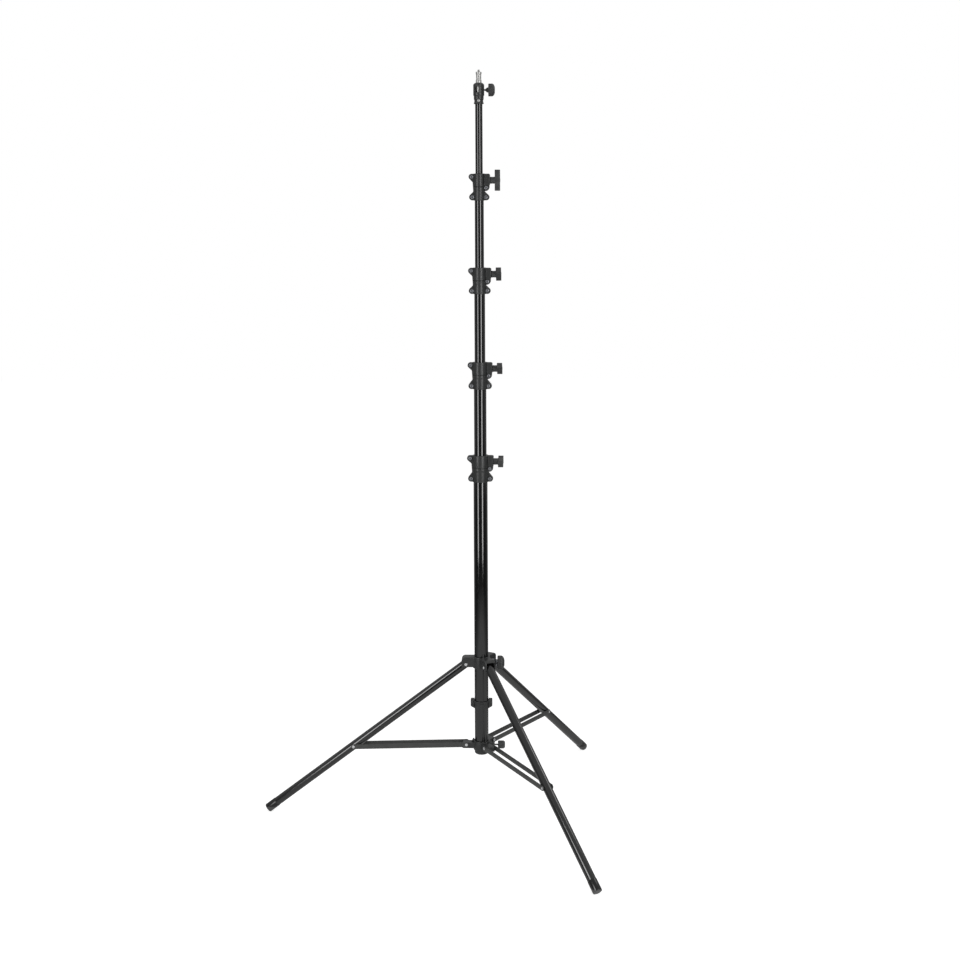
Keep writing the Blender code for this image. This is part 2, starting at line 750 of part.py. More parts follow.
def add_head_knob():
    knob_z = head_bottom() + HEAD_HEIGHT - HEAD_KNOB_DROP
    axis = new_empty("head_knob_axis", SECTIONS[4], (0, 0, knob_z))
    screw, hub, head = HEAD_KNOB_SCREW_DIAMETER / 2, HEAD_KNOB_HUB_DIAMETER / 2, HEAD_KNOB_DIAMETER / 2
    dome = HEAD_KNOB_DOME
    profile = [
        (0, HEAD_KNOB_TO),
        (head * 0.5, HEAD_KNOB_TO - dome * 0.15),
        (head * 0.85, HEAD_KNOB_TO - dome * 0.6),
        (head, HEAD_KNOB_TO - dome * 1.4),
        (head, HEAD_KNOB_HUB_TO + dome * 0.3),
        (head - dome * 0.3, HEAD_KNOB_HUB_TO),
        (hub, HEAD_KNOB_HUB_TO),
        (hub, (HEAD_KNOB_HUB_FROM + HEAD_KNOB_HUB_TO) / 2),
        (screw, HEAD_KNOB_HUB_FROM),
        (screw, SPIGOT_DIAMETER / 2 + RUN),
        (0, SPIGOT_DIAMETER / 2 + RUN),
    ]
    mesh = turned("spigot_knob", profile, False)
    spin(new_part("spigot_knob", mesh, "moulded_plastic", axis, (0, 0, 0), (0, math.pi / 2, 0)))


def lug_outline():
    """A leg lug from the side, outwards along X from the column's axis, and up from the leg pivot."""
    inner = tube_radius(0) + LEG_COLLAR_WALL / 2
    low = LUG_LOWER_CORNER
    return (
        [(inner, LUG_BOTTOM)]
        + arc(LUG_REACH - low, LUG_BOTTOM + low, low, 270, 360)
        + arc(LUG_REACH - LUG_CORNER, LUG_TOP - LUG_CORNER, LUG_CORNER, 0, 90)
        + [(inner, LUG_TOP)]
    )


def swing_outline():
    """The room in a lug where the leg's upper end swings, open below and outwards."""
    swing = math.hypot(LEG_ABOVE_PIVOT, leg_radius()) + LUG_SWING_GAP
    beyond = LUG_REACH + CUT_PAST
    return (
        arc(LEG_PIVOT_RADIUS, 0, swing, 0, 180)
        + [(LEG_PIVOT_RADIUS - swing, LUG_BOTTOM - CUT_PAST), (beyond, LUG_BOTTOM - CUT_PAST)]
        + [(beyond, -LUG_SWING_GAP)]
    )


def add_leg_collar():
    """The sliding collar: a barrel with a hooded lug for each leg and a boss for its clamp screw."""
    r = tube_radius(0)
    barrel = r + LEG_COLLAR_WALL
    top, bottom = LEG_COLLAR_TOP, LEG_COLLAR_BOTTOM
    chamfer = COLLAR_RIM_CHAMFER
    profile = [
        (0, top),
        (barrel - chamfer, top),
        (barrel, top - chamfer),
        (barrel, bottom + chamfer),
        (barrel - chamfer, bottom),
        (0, bottom),
    ]
    mesh = turned("leg_collar", profile, False, COLUMN_SEGMENTS)
    collar = spin(new_part("leg_collar", mesh, "cast_alloy", LEG_SLIDER))
    half_width = leg_radius() + LUG_SIDE_GAP
    hole = rod_mesh(
        "pin_bore",
        (LEG_PIVOT_RADIUS, -LEG_PIVOT_RADIUS / 2, 0),
        (LEG_PIVOT_RADIUS, LEG_PIVOT_RADIUS / 2, 0),
        RIVET_DIAMETER / 2 + RUN,
    )
    swings, holes = [], []
    for number, azimuth in enumerate(LEG_AZIMUTH, 1):
        turn = (0, 0, azimuth)
        outer = plate_mesh("lug", lug_outline(), half_width + LUG_CHEEK)
        lug = new_cutter(f"leg_{number}_lug", outer, LEG_SLIDER, (0, 0, 0), turn)
        room = plate_mesh("swing", swing_outline(), half_width)
        swings.append(new_cutter(f"leg_{number}_swing", room, LEG_SLIDER, (0, 0, 0), turn))
        holes.append(new_cutter(f"leg_{number}_pin_bore", hole, LEG_SLIDER, (0, 0, 0), turn))
        combine(collar, lug, "UNION")
    boss = rod_mesh(
        "screw_boss",
        (r, 0, LEG_KNOB_RISE),
        (COLLAR_SCREW_BOSS_REACH, 0, LEG_KNOB_RISE),
        COLLAR_SCREW_BOSS_DIAMETER / 2,
    )
    combine(collar, new_cutter("leg_collar_boss", boss, LEG_SLIDER), "UNION")
    for cutter in swings + holes:
        combine(collar, cutter, "DIFFERENCE")
    room = [(0, top + CUT_PAST), (r + SLIDE, top + CUT_PAST), (r + SLIDE, bottom - CUT_PAST), (0, bottom - CUT_PAST)]
    bore = new_cutter("leg_collar_bore", turned("bore", room, False, COLUMN_SEGMENTS), LEG_SLIDER)
    combine(collar, spin(bore), "DIFFERENCE")
    reach = COLLAR_SCREW_BOSS_REACH + CUT_PAST
    screw = rod_mesh(
        "screw_bore", (r / 2, 0, LEG_KNOB_RISE), (reach, 0, LEG_KNOB_RISE), LEG_KNOB_SCREW_DIAMETER / 2 + RUN
    )
    combine(collar, new_cutter("leg_collar_screw_bore", screw, LEG_SLIDER), "DIFFERENCE")


def add_leg_collar_knob():
    axis = new_empty("leg_collar_knob_axis", LEG_SLIDER, (0, 0, LEG_KNOB_RISE))
    screw, hub, head = LEG_KNOB_SCREW_DIAMETER / 2, LEG_KNOB_HUB_DIAMETER / 2, LEG_KNOB_DIAMETER / 2
    dome, edge = LEG_KNOB_DOME, LEG_KNOB_EDGE
    hub_from = LEG_KNOB_FROM - LEG_KNOB_HUB_LENGTH
    tip = tube_radius(0) + SLIDE
    profile = [
        (0, LEG_KNOB_TO),
        (head * 0.5, LEG_KNOB_TO - dome * 0.15),
        (head * 0.85, LEG_KNOB_TO - dome * 0.6),
        (head, LEG_KNOB_TO - dome * 1.5),
        (head, LEG_KNOB_FROM + edge),
        (head - edge, LEG_KNOB_FROM),
        (hub, LEG_KNOB_FROM),
        (hub, hub_from),
        (screw, hub_from),
        (screw, tip),
        (0, tip),
    ]
    mesh = turned("leg_collar_knob", profile, False)
    spin(new_part("leg_collar_knob", mesh, "moulded_plastic", axis, (0, 0, 0), (0, math.pi / 2, 0)))


def tongue_outline():
    """A stay's tongue from the side, outwards from the column's axis, and up from the stay's pivot."""
    inner = tube_radius(0) + BOTTOM_COLLAR_WALL / 2
    reach, corner = STAY_INNER_RADIUS + TONGUE_END, TONGUE_CORNER
    return (
        [(inner, TONGUE_BOTTOM)]
        + arc(reach - corner, TONGUE_BOTTOM + corner, corner, 270, 360)
        + arc(reach - corner, TONGUE_TOP - corner, corner, 0, 90)
        + [(inner, TONGUE_TOP)]
    )


def add_bottom_collar():
    """The collar that closes the base tube: a barrel, a round-bottomed cup and a tongue for each stay."""
    r, pivot = tube_radius(0), stay_inner_z()
    barrel, cup, chamfer = r + BOTTOM_COLLAR_WALL, r + CUP_WALL, COLLAR_RIM_CHAMFER
    tube_end = base_tube_bottom()
    floor_bottom = tube_end - CUP_FLOOR - pivot
    centre_r, centre_z = cup - CUP_ROUND, floor_bottom + CUP_ROUND
    drain = DRAIN_DIAMETER / 2
    profile = (
        [(drain, BOTTOM_COLLAR_TOP), (barrel - chamfer, BOTTOM_COLLAR_TOP), (barrel, BOTTOM_COLLAR_TOP - chamfer)]
        + [(barrel, BARREL_BOTTOM + chamfer), (cup, BARREL_BOTTOM - chamfer)]
        + arc(centre_r, centre_z, CUP_ROUND, 0, -90)
        + [(drain, floor_bottom)]
    )
    mesh = turned("bottom_collar", profile, True, COLUMN_SEGMENTS)
    collar = spin(new_part("bottom_collar", mesh, "cast_alloy", STAY_CENTRE))
    half_width = STAY_HALF_GAP - SLIDE
    hole = rod_mesh(
        "pin_bore",
        (STAY_INNER_RADIUS, -STAY_INNER_RADIUS / 2, 0),
        (STAY_INNER_RADIUS, STAY_INNER_RADIUS / 2, 0),
        RIVET_DIAMETER / 2 + RUN,
    )
    fin_outline = [
        (barrel - BOTTOM_COLLAR_WALL / 2, 0),
        (FIN_REACH, TONGUE_TOP - CUP_WALL),
        (barrel + chamfer, FIN_TOP),
        (barrel - BOTTOM_COLLAR_WALL / 2, FIN_TOP),
    ]
    for number, azimuth in enumerate(LEG_AZIMUTH, 1):
        turn = (0, 0, azimuth)
        tongue = plate_mesh("tongue", tongue_outline(), half_width)
        tongue = new_cutter(f"stay_{number}_tongue", tongue, STAY_CENTRE, (0, 0, 0), turn)
        fin = plate_mesh("fin", fin_outline, FIN_THICKNESS / 2)
        fin = new_cutter(f"stay_{number}_fin", fin, STAY_CENTRE, (0, 0, 0), turn)
        combine(collar, tongue, "UNION")
        combine(collar, fin, "UNION")
        bore = new_cutter(f"stay_{number}_pin_bore", hole, STAY_CENTRE, (0, 0, 0), turn)
        combine(collar, bore, "DIFFERENCE")
    boss = rod_mesh(
        "screw_boss",
        (r, 0, BOTTOM_KNOB_RISE),
        (BOTTOM_BOSS_REACH, 0, BOTTOM_KNOB_RISE),
        BOTTOM_BOSS_DIAMETER / 2,
    )
    combine(collar, new_cutter("bottom_collar_boss", boss, STAY_CENTRE), "UNION")
    top, bottom = FIN_TOP + CUT_PAST, tube_end - SEAT - pivot
    room = [(0, top), (r + SEAT, top), (r + SEAT, bottom), (0, bottom)]
    bore = new_cutter("bottom_collar_bore", turned("bore", room, False, COLUMN_SEGMENTS), STAY_CENTRE)
    combine(collar, spin(bore), "DIFFERENCE")
    reach, screw = BOTTOM_BOSS_REACH + CUT_PAST, BOTTOM_KNOB_SCREW_DIAMETER / 2
    bore = rod_mesh("screw_bore", (r / 2, 0, BOTTOM_KNOB_RISE), (reach, 0, BOTTOM_KNOB_RISE), screw + RUN)
    combine(collar, new_cutter("bottom_collar_screw_bore", bore, STAY_CENTRE), "DIFFERENCE")


def add_bottom_collar_knob():
    axis = new_empty("bottom_collar_knob_axis", STAY_CENTRE, (0, 0, BOTTOM_KNOB_RISE))
    screw, head, edge = BOTTOM_KNOB_SCREW_DIAMETER / 2, BOTTOM_KNOB_DIAMETER / 2, BOTTOM_KNOB_ROUND
    tip = tube_radius(0) + SEAT
    profile = (
        [(0, BOTTOM_KNOB_TO)]
        + arc(head - edge, BOTTOM_KNOB_TO - edge, edge, 90, 0)
        + arc(head - edge / 2, BOTTOM_KNOB_FROM + edge / 2, edge / 2, 0, -90)
        + [(screw, BOTTOM_KNOB_FROM), (screw, tip), (0, tip)]
    )
    mesh = turned("bottom_collar_knob", profile, False)
    spin(new_part("bottom_collar_knob", mesh, "moulded_plastic", axis, (0, 0, 0), (0, math.pi / 2, 0)))


def add_stop_ring():
    """A banded ring on the base tube, with an ear on each side, that stops the leg collar."""
    r, top = tube_radius(0), leg_pivot_z() - RING_DROP
    bore, band, foot = r + SEAT, RING_BAND_DIAMETER / 2, r + RING_FOOT_WALL
    band_bottom, bottom = top - RING_BAND_HEIGHT, top - RING_HEIGHT
    profile = [
        (bore, top),
        (band, top),
        (band, band_bottom),
        (foot, band_bottom - RING_FOOT_WALL),
        (foot, bottom),
        (bore, bottom),
    ]
    mesh = turned("stop_ring", profile, True, COLUMN_SEGMENTS)
    ring = spin(new_part("stop_ring", mesh, "cast_alloy", SECTIONS[0]))
    near, far, corner = (bore + foot) / 2, RING_EAR_REACH, RING_EAR_CORNER
    ear_top = top + RING_EAR_RISE
    ear_bottom = ear_top - RING_EAR_HEIGHT
    outline = [
        (near, ear_top),
        (far - corner, ear_top),
        (far, ear_top - corner),
        (far, ear_bottom),
        (near, ear_bottom - RING_WEB_DROP),
    ]
    for side, label in ((-1, "left"), (1, "right")):
        ear = plate_mesh("ring_ear", [(side * x, z) for x, z in outline], RING_EAR_WIDTH / 2)
        combine(ring, new_cutter(f"stop_ring_{label}_ear", ear, SECTIONS[0]), "UNION")
    room = [
        (0, ear_top + CUT_PAST),
        (bore, ear_top + CUT_PAST),
        (bore, bottom - CUT_PAST),
        (0, bottom - CUT_PAST),
    ]
    hole = new_cutter("stop_ring_bore", turned("bore", room, False, COLUMN_SEGMENTS), SECTIONS[0])
    combine(ring, spin(hole), "DIFFERENCE")


def add_leg(number, azimuth):
    """One leg: a tube along its hinge's X, a rubber cap on its foot, and the pins at its two pivots."""
    side = new_empty(f"leg_{number}_side", LEG_SLIDER, (0, 0, 0), (0, 0, azimuth))
    tilt = math.pi / 2 - LEG_SPREAD
    hinge = new_empty(f"leg_{number}_hinge", side, (LEG_PIVOT_RADIUS, 0, 0), (0, tilt, 0))
    outer, inner = leg_radius(), leg_radius() - LEG_WALL
    tube_end = LEG_LENGTH - FOOT_CAP_END - SEAT
    profile = [(outer, tube_end), (outer, -LEG_ABOVE_PIVOT), (inner, -LEG_ABOVE_PIVOT), (inner, tube_end)]
    name = f"leg_{number}_tube"
    along = (0, math.pi / 2, 0)
    tube = spin(new_part(name, turned(name, profile, True), "anodised_tube", hinge, (0, 0, 0), along))
    hole = rod_mesh("pin_bore", (0, -outer * 2, 0), (0, outer * 2, 0), RIVET_DIAMETER / 2 + RUN)
    combine(tube, new_cutter(f"leg_{number}_pivot_bore", hole, hinge), "DIFFERENCE")
    at_stay = (STAY_PIVOT_ALONG_LEG, 0, 0)
    combine(tube, new_cutter(f"leg_{number}_stay_bore", hole, hinge, at_stay), "DIFFERENCE")
    cap, sleeve = FOOT_CAP_DIAMETER / 2, LEG_LENGTH - FOOT_CAP_LENGTH
    seat, edge = outer + SEAT, FOOT_CAP_EDGE
    profile = [
        (0, LEG_LENGTH),
        (cap - edge, LEG_LENGTH),
        (cap, LEG_LENGTH - edge),
        (cap, sleeve),
        (seat, sleeve),
        (seat, LEG_LENGTH - FOOT_CAP_END),
        (0, LEG_LENGTH - FOOT_CAP_END),
    ]
    name = f"foot_{number}_cap"
    foot = spin(new_part(name, turned(name, profile, False), "rubber", hinge, (0, 0, 0), along))
    reach = LEG_PIVOT_RADIUS + LEG_LENGTH * math.sin(LEG_SPREAD)
    below = box_mesh(
        "floor",
        (reach - FOOT_CAP_LENGTH, -FOOT_CAP_DIAMETER, -leg_pivot_z() - CUT_PAST),
        (reach + FOOT_CAP_LENGTH, FOOT_CAP_DIAMETER, -leg_pivot_z()),
    )
    combine(foot, new_cutter(f"foot_{number}_floor", below, side), "DIFFERENCE")
    grip = outer + LUG_SIDE_GAP + LUG_CHEEK + SEAT
    add_rivet(
        f"leg_{number}_pivot_rivet",
        side,
        (LEG_PIVOT_RADIUS, 0, 0),
        grip,
        RIVET_DIAMETER / 2,
        RIVET_HEAD_DIAMETER / 2,
    )
    name = f"leg_{number}_stay_pin"
    pin = rod_mesh(name, (0, -outer + SEAT, 0), (0, outer - SEAT, 0), RIVET_DIAMETER / 2)
    new_part(name, pin, "zinc_plate", hinge, at_stay)


def bar_outline(length):
    """A stay's bar from the side: round ends about its two pivots."""
    radius = STAY_BAR_HEIGHT / 2
    return arc(0, 0, radius, 90, 270) + arc(length, 0, radius, -90, 90)


def add_stay(number, azimuth):
    """Two flat bars side by side, which turn on a rivet in the bottom collar's tongue."""
    side = new_empty(f"stay_{number}_side", STAY_CENTRE, (0, 0, 0), (0, 0, azimuth))
    outward, upward = stay_vector()
    length, tilt = math.hypot(outward, upward), -math.atan2(upward, outward)
    hinge = new_empty(f"stay_{number}_hinge", side, (STAY_INNER_RADIUS, 0, 0), (0, tilt, 0))
    middle = STAY_HALF_GAP + STAY_BAR_THICKNESS / 2
    outside = STAY_HALF_GAP + STAY_BAR_THICKNESS
    for sign, label in ((-1, "right"), (1, "left")):
        name = f"stay_{number}_{label}_bar"
        mesh = plate_mesh(name, bar_outline(length), STAY_BAR_THICKNESS / 2)
        bar = new_part(name, mesh, "painted_steel", hinge, (0, sign * middle, 0))
        hole = rod_mesh(
            "pin_bore", (0, sign * outside * 0.5, 0), (0, sign * outside * 1.5, 0), RIVET_DIAMETER / 2 + RUN
        )
        combine(bar, new_cutter(f"stay_{number}_{label}_bore", hole, hinge), "DIFFERENCE")
        head = RIVET_HEAD_DIAMETER / 2
        profile = [
            (0, outside + RIVET_HEAD_HEIGHT),
            (head * 0.55, outside + RIVET_HEAD_HEIGHT),
            (head, outside + RIVET_HEAD_HEIGHT / 3),
            (head, outside - STAY_BAR_THICKNESS / 2),
            (0, outside - STAY_BAR_THICKNESS / 2),
        ]
        rivet = turned("rivet_head", profile, False, PIN_SEGMENTS)
        turn = (-sign * math.pi / 2, 0, 0)
        rivet = spin(new_cutter(f"stay_{number}_{label}_head", rivet, hinge, (length, 0, 0), turn))
        combine(bar, rivet, "UNION")
    add_rivet(
        f"stay_{number}_inner_rivet",
        side,
        (STAY_INNER_RADIUS, 0, 0),
        outside + SEAT,
        RIVET_DIAMETER / 2,
        RIVET_HEAD_DIAMETER / 2,
    )


clear_scene()
PARTS = new_collection("light_stand")
CUTTERS = new_collection("cutters")
MATERIALS = {
    "anodised_tube": new_material("anodised_tube", "17181a", 0.32, 0.6),
    "cast_alloy": new_material("cast_alloy", "3e3e3e", 0.55, 0.2),
    "moulded_plastic": new_material("moulded_plastic", "404040", 0.55, 0.0),
    "nylon": new_material("nylon", "d8d6cf", 0.45, 0.0),
    "painted_steel": new_material("painted_steel", "3a3a3a", 0.5, 0.3),
    "rubber": new_material("rubber", "202020", 0.8, 0.0),
    "zinc_plate": new_material("zinc_plate", "c9cacc", 0.25, 1.0),
}

COLUMN = new_empty("column", None, (column_x(), 0, 0))
SECTIONS = [new_empty("base_section", COLUMN)]
for index in range(1, 5):
    SECTIONS.append(new_empty(f"riser_{index}_section", SECTIONS[index - 1]))
LEG_SLIDER = new_empty("leg_slider", COLUMN, (0, 0, leg_pivot_z()))
STAY_CENTRE = new_empty("stay_centre", COLUMN, (0, 0, stay_inner_z()))

add_tube(
    "base_tube", 0, base_tube_bottom(), base_tube_bottom() + BASE_TUBE_LENGTH, "anodised_tube", SECTIONS[0]
)
for index in range(1, 5):
    end = riser_top(index)
    add_tube(f"riser_{index}_tube", index, end - RISER_LENGTH, end, "anodised_tube", SECTIONS[index])
    add_guide_plug(index)
for index in range(4):
    add_collar(index)
    add_collar_knob(index)
add_head()
add_spigot()
add_head_knob()
add_leg_collar()
add_leg_collar_knob()
add_bottom_collar()
add_bottom_collar_knob()
add_stop_ring()
for index, direction in enumerate(LEG_AZIMUTH, 1):
    add_leg(index, direction)
    add_stay(index, direction)
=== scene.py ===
"""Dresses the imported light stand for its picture.

Tubes, knobs, rivets and the spigot are turned surfaces. The cast collars are built from slabs with
rounded edges and part-turned barrels. Sizes are in metres. A piece is placed from the frame: the boxes
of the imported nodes, and the places of the joints.
"""

import json
import math

import bmesh
import bpy
import numpy as np
from mathutils import Matrix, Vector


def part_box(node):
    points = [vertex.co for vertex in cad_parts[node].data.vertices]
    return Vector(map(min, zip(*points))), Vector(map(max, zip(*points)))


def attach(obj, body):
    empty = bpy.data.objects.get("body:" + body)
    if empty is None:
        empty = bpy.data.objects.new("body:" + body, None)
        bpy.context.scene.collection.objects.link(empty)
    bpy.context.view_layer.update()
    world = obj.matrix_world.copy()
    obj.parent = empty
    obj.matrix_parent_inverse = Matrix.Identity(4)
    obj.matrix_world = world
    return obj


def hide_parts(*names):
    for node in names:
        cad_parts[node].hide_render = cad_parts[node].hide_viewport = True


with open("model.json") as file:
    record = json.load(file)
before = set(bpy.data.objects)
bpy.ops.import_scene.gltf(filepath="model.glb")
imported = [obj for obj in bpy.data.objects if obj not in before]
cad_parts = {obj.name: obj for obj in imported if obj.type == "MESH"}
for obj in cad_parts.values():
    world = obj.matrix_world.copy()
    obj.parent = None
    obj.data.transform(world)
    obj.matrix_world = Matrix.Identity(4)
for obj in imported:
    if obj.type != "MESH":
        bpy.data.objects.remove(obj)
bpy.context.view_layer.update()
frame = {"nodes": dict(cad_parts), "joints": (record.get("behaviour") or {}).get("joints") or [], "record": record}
JOINTS = {joint["name"]: joint for joint in frame["joints"]}

# The photograph's camera, from its place beside the column's axis
FOCAL_MM = 57.23
SENSOR_MM = 36.0
CAMERA_DISTANCE = 4.2818
CAMERA_HEIGHT = 1.7442
CAMERA_AZIMUTH = math.radians(1.911)
CAMERA_YAW = math.radians(-0.02)
CAMERA_PITCH = math.radians(9.876)
CAMERA_ROLL = math.radians(-0.27)

# Lamps: name, degrees from the camera's side, distance, width, lowest and highest point, and radiance
LAMPS = (
    ("left_strip", -41, 3.0, 0.86, 0.25, 2.75, 4.7),
    ("right_strip", 31, 3.0, 0.89, 0.25, 2.8, 5.3),
    ("high_strip", 104, 3.0, 1.5, 3.3, 4.4, 3.4),
)

# Floor and room. Diffuse light sees the room at one soft level. Gloss sees a room that is dark in front
# and pale behind and overhead, and a floor with a pool of light that pales again towards the back. A stop
# of the pool is a share of its reach and a level. The other pairs are where a change starts and ends.
PAPER = "e8e8e8"
FLOOR_REACH = 12.0
FLOOR_WHITE = 0.7
POOL_CENTRE = (0.1, -0.9)
POOL_REACH = 4.0
POOL_STOPS = ((0.02, 0.55), (0.3, 0.5), (0.42, 0.25), (0.62, 0.03))
FLOOR_PALES = (-1.0, 5.0)
ROOM_SOFT = 0.38
ROOM_DARK = 0.05
ROOM_BACK = 0.33
BACK_PALES = (-0.9, 0.8)
ROOM_TOP = 0.28
TOP_PALES = (0.1, 0.6)

# Column
TUBE_WALL = 0.0015
TUBE_NODES = ("base_tube", "riser_1_tube", "riser_2_tube", "riser_3_tube", "riser_4_tube")
FIT = 0.0003
RUNNING_FIT = 0.0004

# Riser collars
BARREL_WALL = 0.0034
LOWER_WALL = 0.0027
SEAM_DROP = 0.035
SEAM_HEIGHT = 0.0024
SEAM_DEPTH = 0.0018
BEAD_HEIGHT = 0.005
TUBE_GRIP = 0.042
SPLIT = 0.0008
EAR_THICKNESS = 0.006
EAR_RADIUS = 0.0088
EAR_EDGE_STEP = 0.0005
UPPER_EAR_RADIUS = 0.0082
LEFT_BOLT_OUT = 0.0064
RIGHT_BOLT_OUT = 0.007
UPPER_BOLT_OUT = 0.0082
UPPER_BOLT_STEP = 0.0005
WAIST_OUT = 0.0038
SHOULDER_OUT = 0.0054
SHOULDER_DROP = 0.0235
WAIST_DROP = 0.049
BOSS_OUT = 0.0164
BOSS_PROUD = 0.0012
BOSS_DROP = 0.0018
BOSS_HALF_WIDTH = 0.0118
BOSS_DEPTH = 0.032
BOSS_CORNER = 0.003
BOSS_ROUND_RADIUS = 0.012
BOSS_ROUND_DROP = 0.0355
BOSS_BOLT_OUT = 0.0065
BOSS_BOLT_DROP = 0.0384
CAST_EDGE = 0.0008
# How far a form of a casting runs into the one that carries it
SUNK = 0.002
CLAMP_BOSS_SUNK = 0.004
BOTTOM_BOSS_SUNK = 0.003
ROOF_SUNK = 0.0001

# Bolts, rivets and screws. A thread is as deep as 0.61 of its pitch, with 8 rows of points to a turn.
BOLT_FLATS = 0.0078
BOLT_HEAD = 0.0031
WASHER_RADIUS = 0.0051
WASHER_HEIGHT = 0.0007
RIVET_HEAD_RADIUS = 0.0041
RIVET_HEAD_HEIGHT = 0.0015
RIVET_SHANK_RADIUS = 0.003
THREAD_PITCH = 0.00125
FINE_PITCH = 0.0008
THREAD_DEPTH = 0.61
THREAD_ROWS = 8

# T-knobs
KNOB_TURN = (math.radians(-78.5), math.radians(66), math.radians(63), 0.0)
STEM_RADIUS = 0.0094
STEM_WAIST = 0.0091
STEM_LENGTH = 0.0125
BAR_LENGTH = 0.057
BAR_THICKNESS = 0.0148
BAR_WIDTH = 0.015
BAR_CORNER = 0.0014
BAR_EDGE = 0.001
GRIP_RIBS = 3
GRIP_RIB_FROM_END = 0.0055
GRIP_RIB_STEP = 0.0032
GRIP_RIB_HALF = 0.0007
GRIP_RIB_PROUD = 0.0004
GRIP_RIB_INSET = 0.0022
GRIP_RIB_EDGE = 0.0003
PLUG_RADIUS = 0.0048
PLUG_PROUD = 0.0005

# Legs and stays
LEG_NUMBERS = (1, 2, 3)
LEG_SPREAD = math.radians(52.78)
LEG_LENGTH = 0.7424
LEG_RADIUS = 0.0125
LEG_ABOVE_PIVOT = 0.0125
CAP_RADIUS = 0.0132
CAP_LENGTH = 0.034
CAP_END = 0.003
# Height on a foot cap below which it is rubbed dull and painted lighter grey, a painted reflection of the floor,
# and the height over which that fades
RUB_AND_FLOOR_SHINE_TOP = 0.018
RUB_AND_FLOOR_SHINE_FADE = 0.003
STAY_ALONG_LEG = 0.4168
STAY_HALF_GAP = 0.0134
STAY_THICKNESS = 0.0028
STAY_HALF_HEIGHT = 0.007

# Head and spigot
SPIGOT_RADIUS = 0.008
SPIGOT_WAIST_RADIUS = 0.007
SPIGOT_BAND = 0.0052
SPIGOT_WAIST_LENGTH = 0.0135
SPIGOT_CONE = 0.002
STUD_RADIUS = 0.003175
STUD_LENGTH = 0.0056
LOWER_STUD_RADIUS = 0.00475
LOWER_STUD_LENGTH = 0.0088
STUD_PITCH = 0.00127
LOWER_STUD_PITCH = 0.0016
HEAD_WEB = 0.0153
HEAD_WEB_THICKNESS = 0.0037
HEAD_BEVEL = 0.0042
HEAD_NECK_RADIUS = 0.0135
HEAD_NECK_TOP = 0.0221
HEAD_GROOVE_RADIUS = 0.0122
HEAD_GROOVE_TOP = 0.0116
HEAD_FLANGE_RADIUS = 0.0137
HEAD_FLANGE_HEIGHT = 0.0041
HEAD_RIVET_HEIGHT = 0.0085
HEAD_RIVET_RADIUS = 0.0038
HEAD_RIVET_SHANK = 0.002
WINDOW_WIDTH = 0.0096
WINDOW_HEIGHT = 0.0185
WINDOW_DROP = 0.017
WINDOW_OFFSET = -0.0033
HEAD_SCREW_RADIUS = 0.0025
HEAD_HUB_RADIUS = 0.0067
HEAD_HUB_FROM = 0.018
HEAD_HUB_TO = 0.0262
HEAD_KNOB_RADIUS = 0.017
HEAD_KNOB_TO = 0.044
HEAD_KNOB_LOBES = 6
HEAD_KNOB_LOBE_DEPTH = 0.0024

# Leg collar and its knob, with heights from the leg pivots
LEG_PIVOT_RADIUS = 0.0445
LEG_SIDE_GAP = 0.0004
LEG_COLLAR_WALL = 0.0055
LEG_COLLAR_BOTTOM = -0.012
LEG_COLLAR_TOP = 0.0222
LUG_BOTTOM = -0.0083
LUG_TOP = 0.0214
LUG_REACH = 0.0572
LUG_CORNER = 0.0105
LUG_CHEEK = 0.0036
LUG_SWING = 0.0181
CLAMP_BOSS_RADIUS = 0.0085
CLAMP_BOSS_REACH = 0.042
LINER_SEAT_OUT = 0.0335
LINER_SEAT_FOOT = 0.0066
LINER_SEAT_TOP = 0.0062
LINER_SEAT_HEIGHT = 0.0105
LINER_SOCKET_RADIUS = 0.0048
LINER_SOCKET_FLOOR = 0.009
LINER_SCREW_LEVEL = 0.0098
LINER_SCREW_RADIUS = 0.0044
LINER_SCREW_HEIGHT = 0.0016
LEG_KNOB_RADIUS = 0.021
LEG_KNOB_FROM = 0.0468
LEG_KNOB_TO = 0.0668
LEG_KNOB_FLUTES = 10
LEG_KNOB_FLUTE_DEPTH = 0.0016
LEG_HUB_RADIUS = 0.01
LEG_HUB_LENGTH = 0.004
LEG_KNOB_SCREW_RADIUS = 0.004
LEG_KNOB_CAP_RADIUS = 0.0085
LEG_KNOB_CAP_PROUD = 0.0004

# Bottom collar and its knob, with heights from the stays' inner pivots
STAY_INNER_RADIUS = 0.0445
BOTTOM_COLLAR_WALL = 0.004
BOTTOM_COLLAR_TOP = 0.0105
BARREL_BOTTOM = -0.0172
CUP_WALL = 0.0008
CUP_ROUND = 0.0065
DRAIN_RADIUS = 0.003
TONGUE_TOP = 0.0056
TONGUE_BOTTOM = -0.0115
TONGUE_END = 0.0135
TONGUE_CORNER = 0.006
TONGUE_EDGE = 0.0014
TONGUE_CORE_HALF = 0.0096
TONGUE_CHEEK_FROM = 0.0182
FIN_HALF = 0.0015
FIN_REACH = 0.0305
FIN_TOP = 0.016
BOTTOM_BOSS_RADIUS = 0.0065
BOTTOM_BOSS_REACH = 0.038
BOTTOM_SCREW_RADIUS = 0.0025
BOTTOM_KNOB_FROM = 0.0475
BOTTOM_KNOB_TO = 0.0684
BOTTOM_KNOB_RADIUS = 0.01175
BOTTOM_KNOB_FLUTES = 14
BOTTOM_KNOB_FLUTE_DEPTH = 0.0009

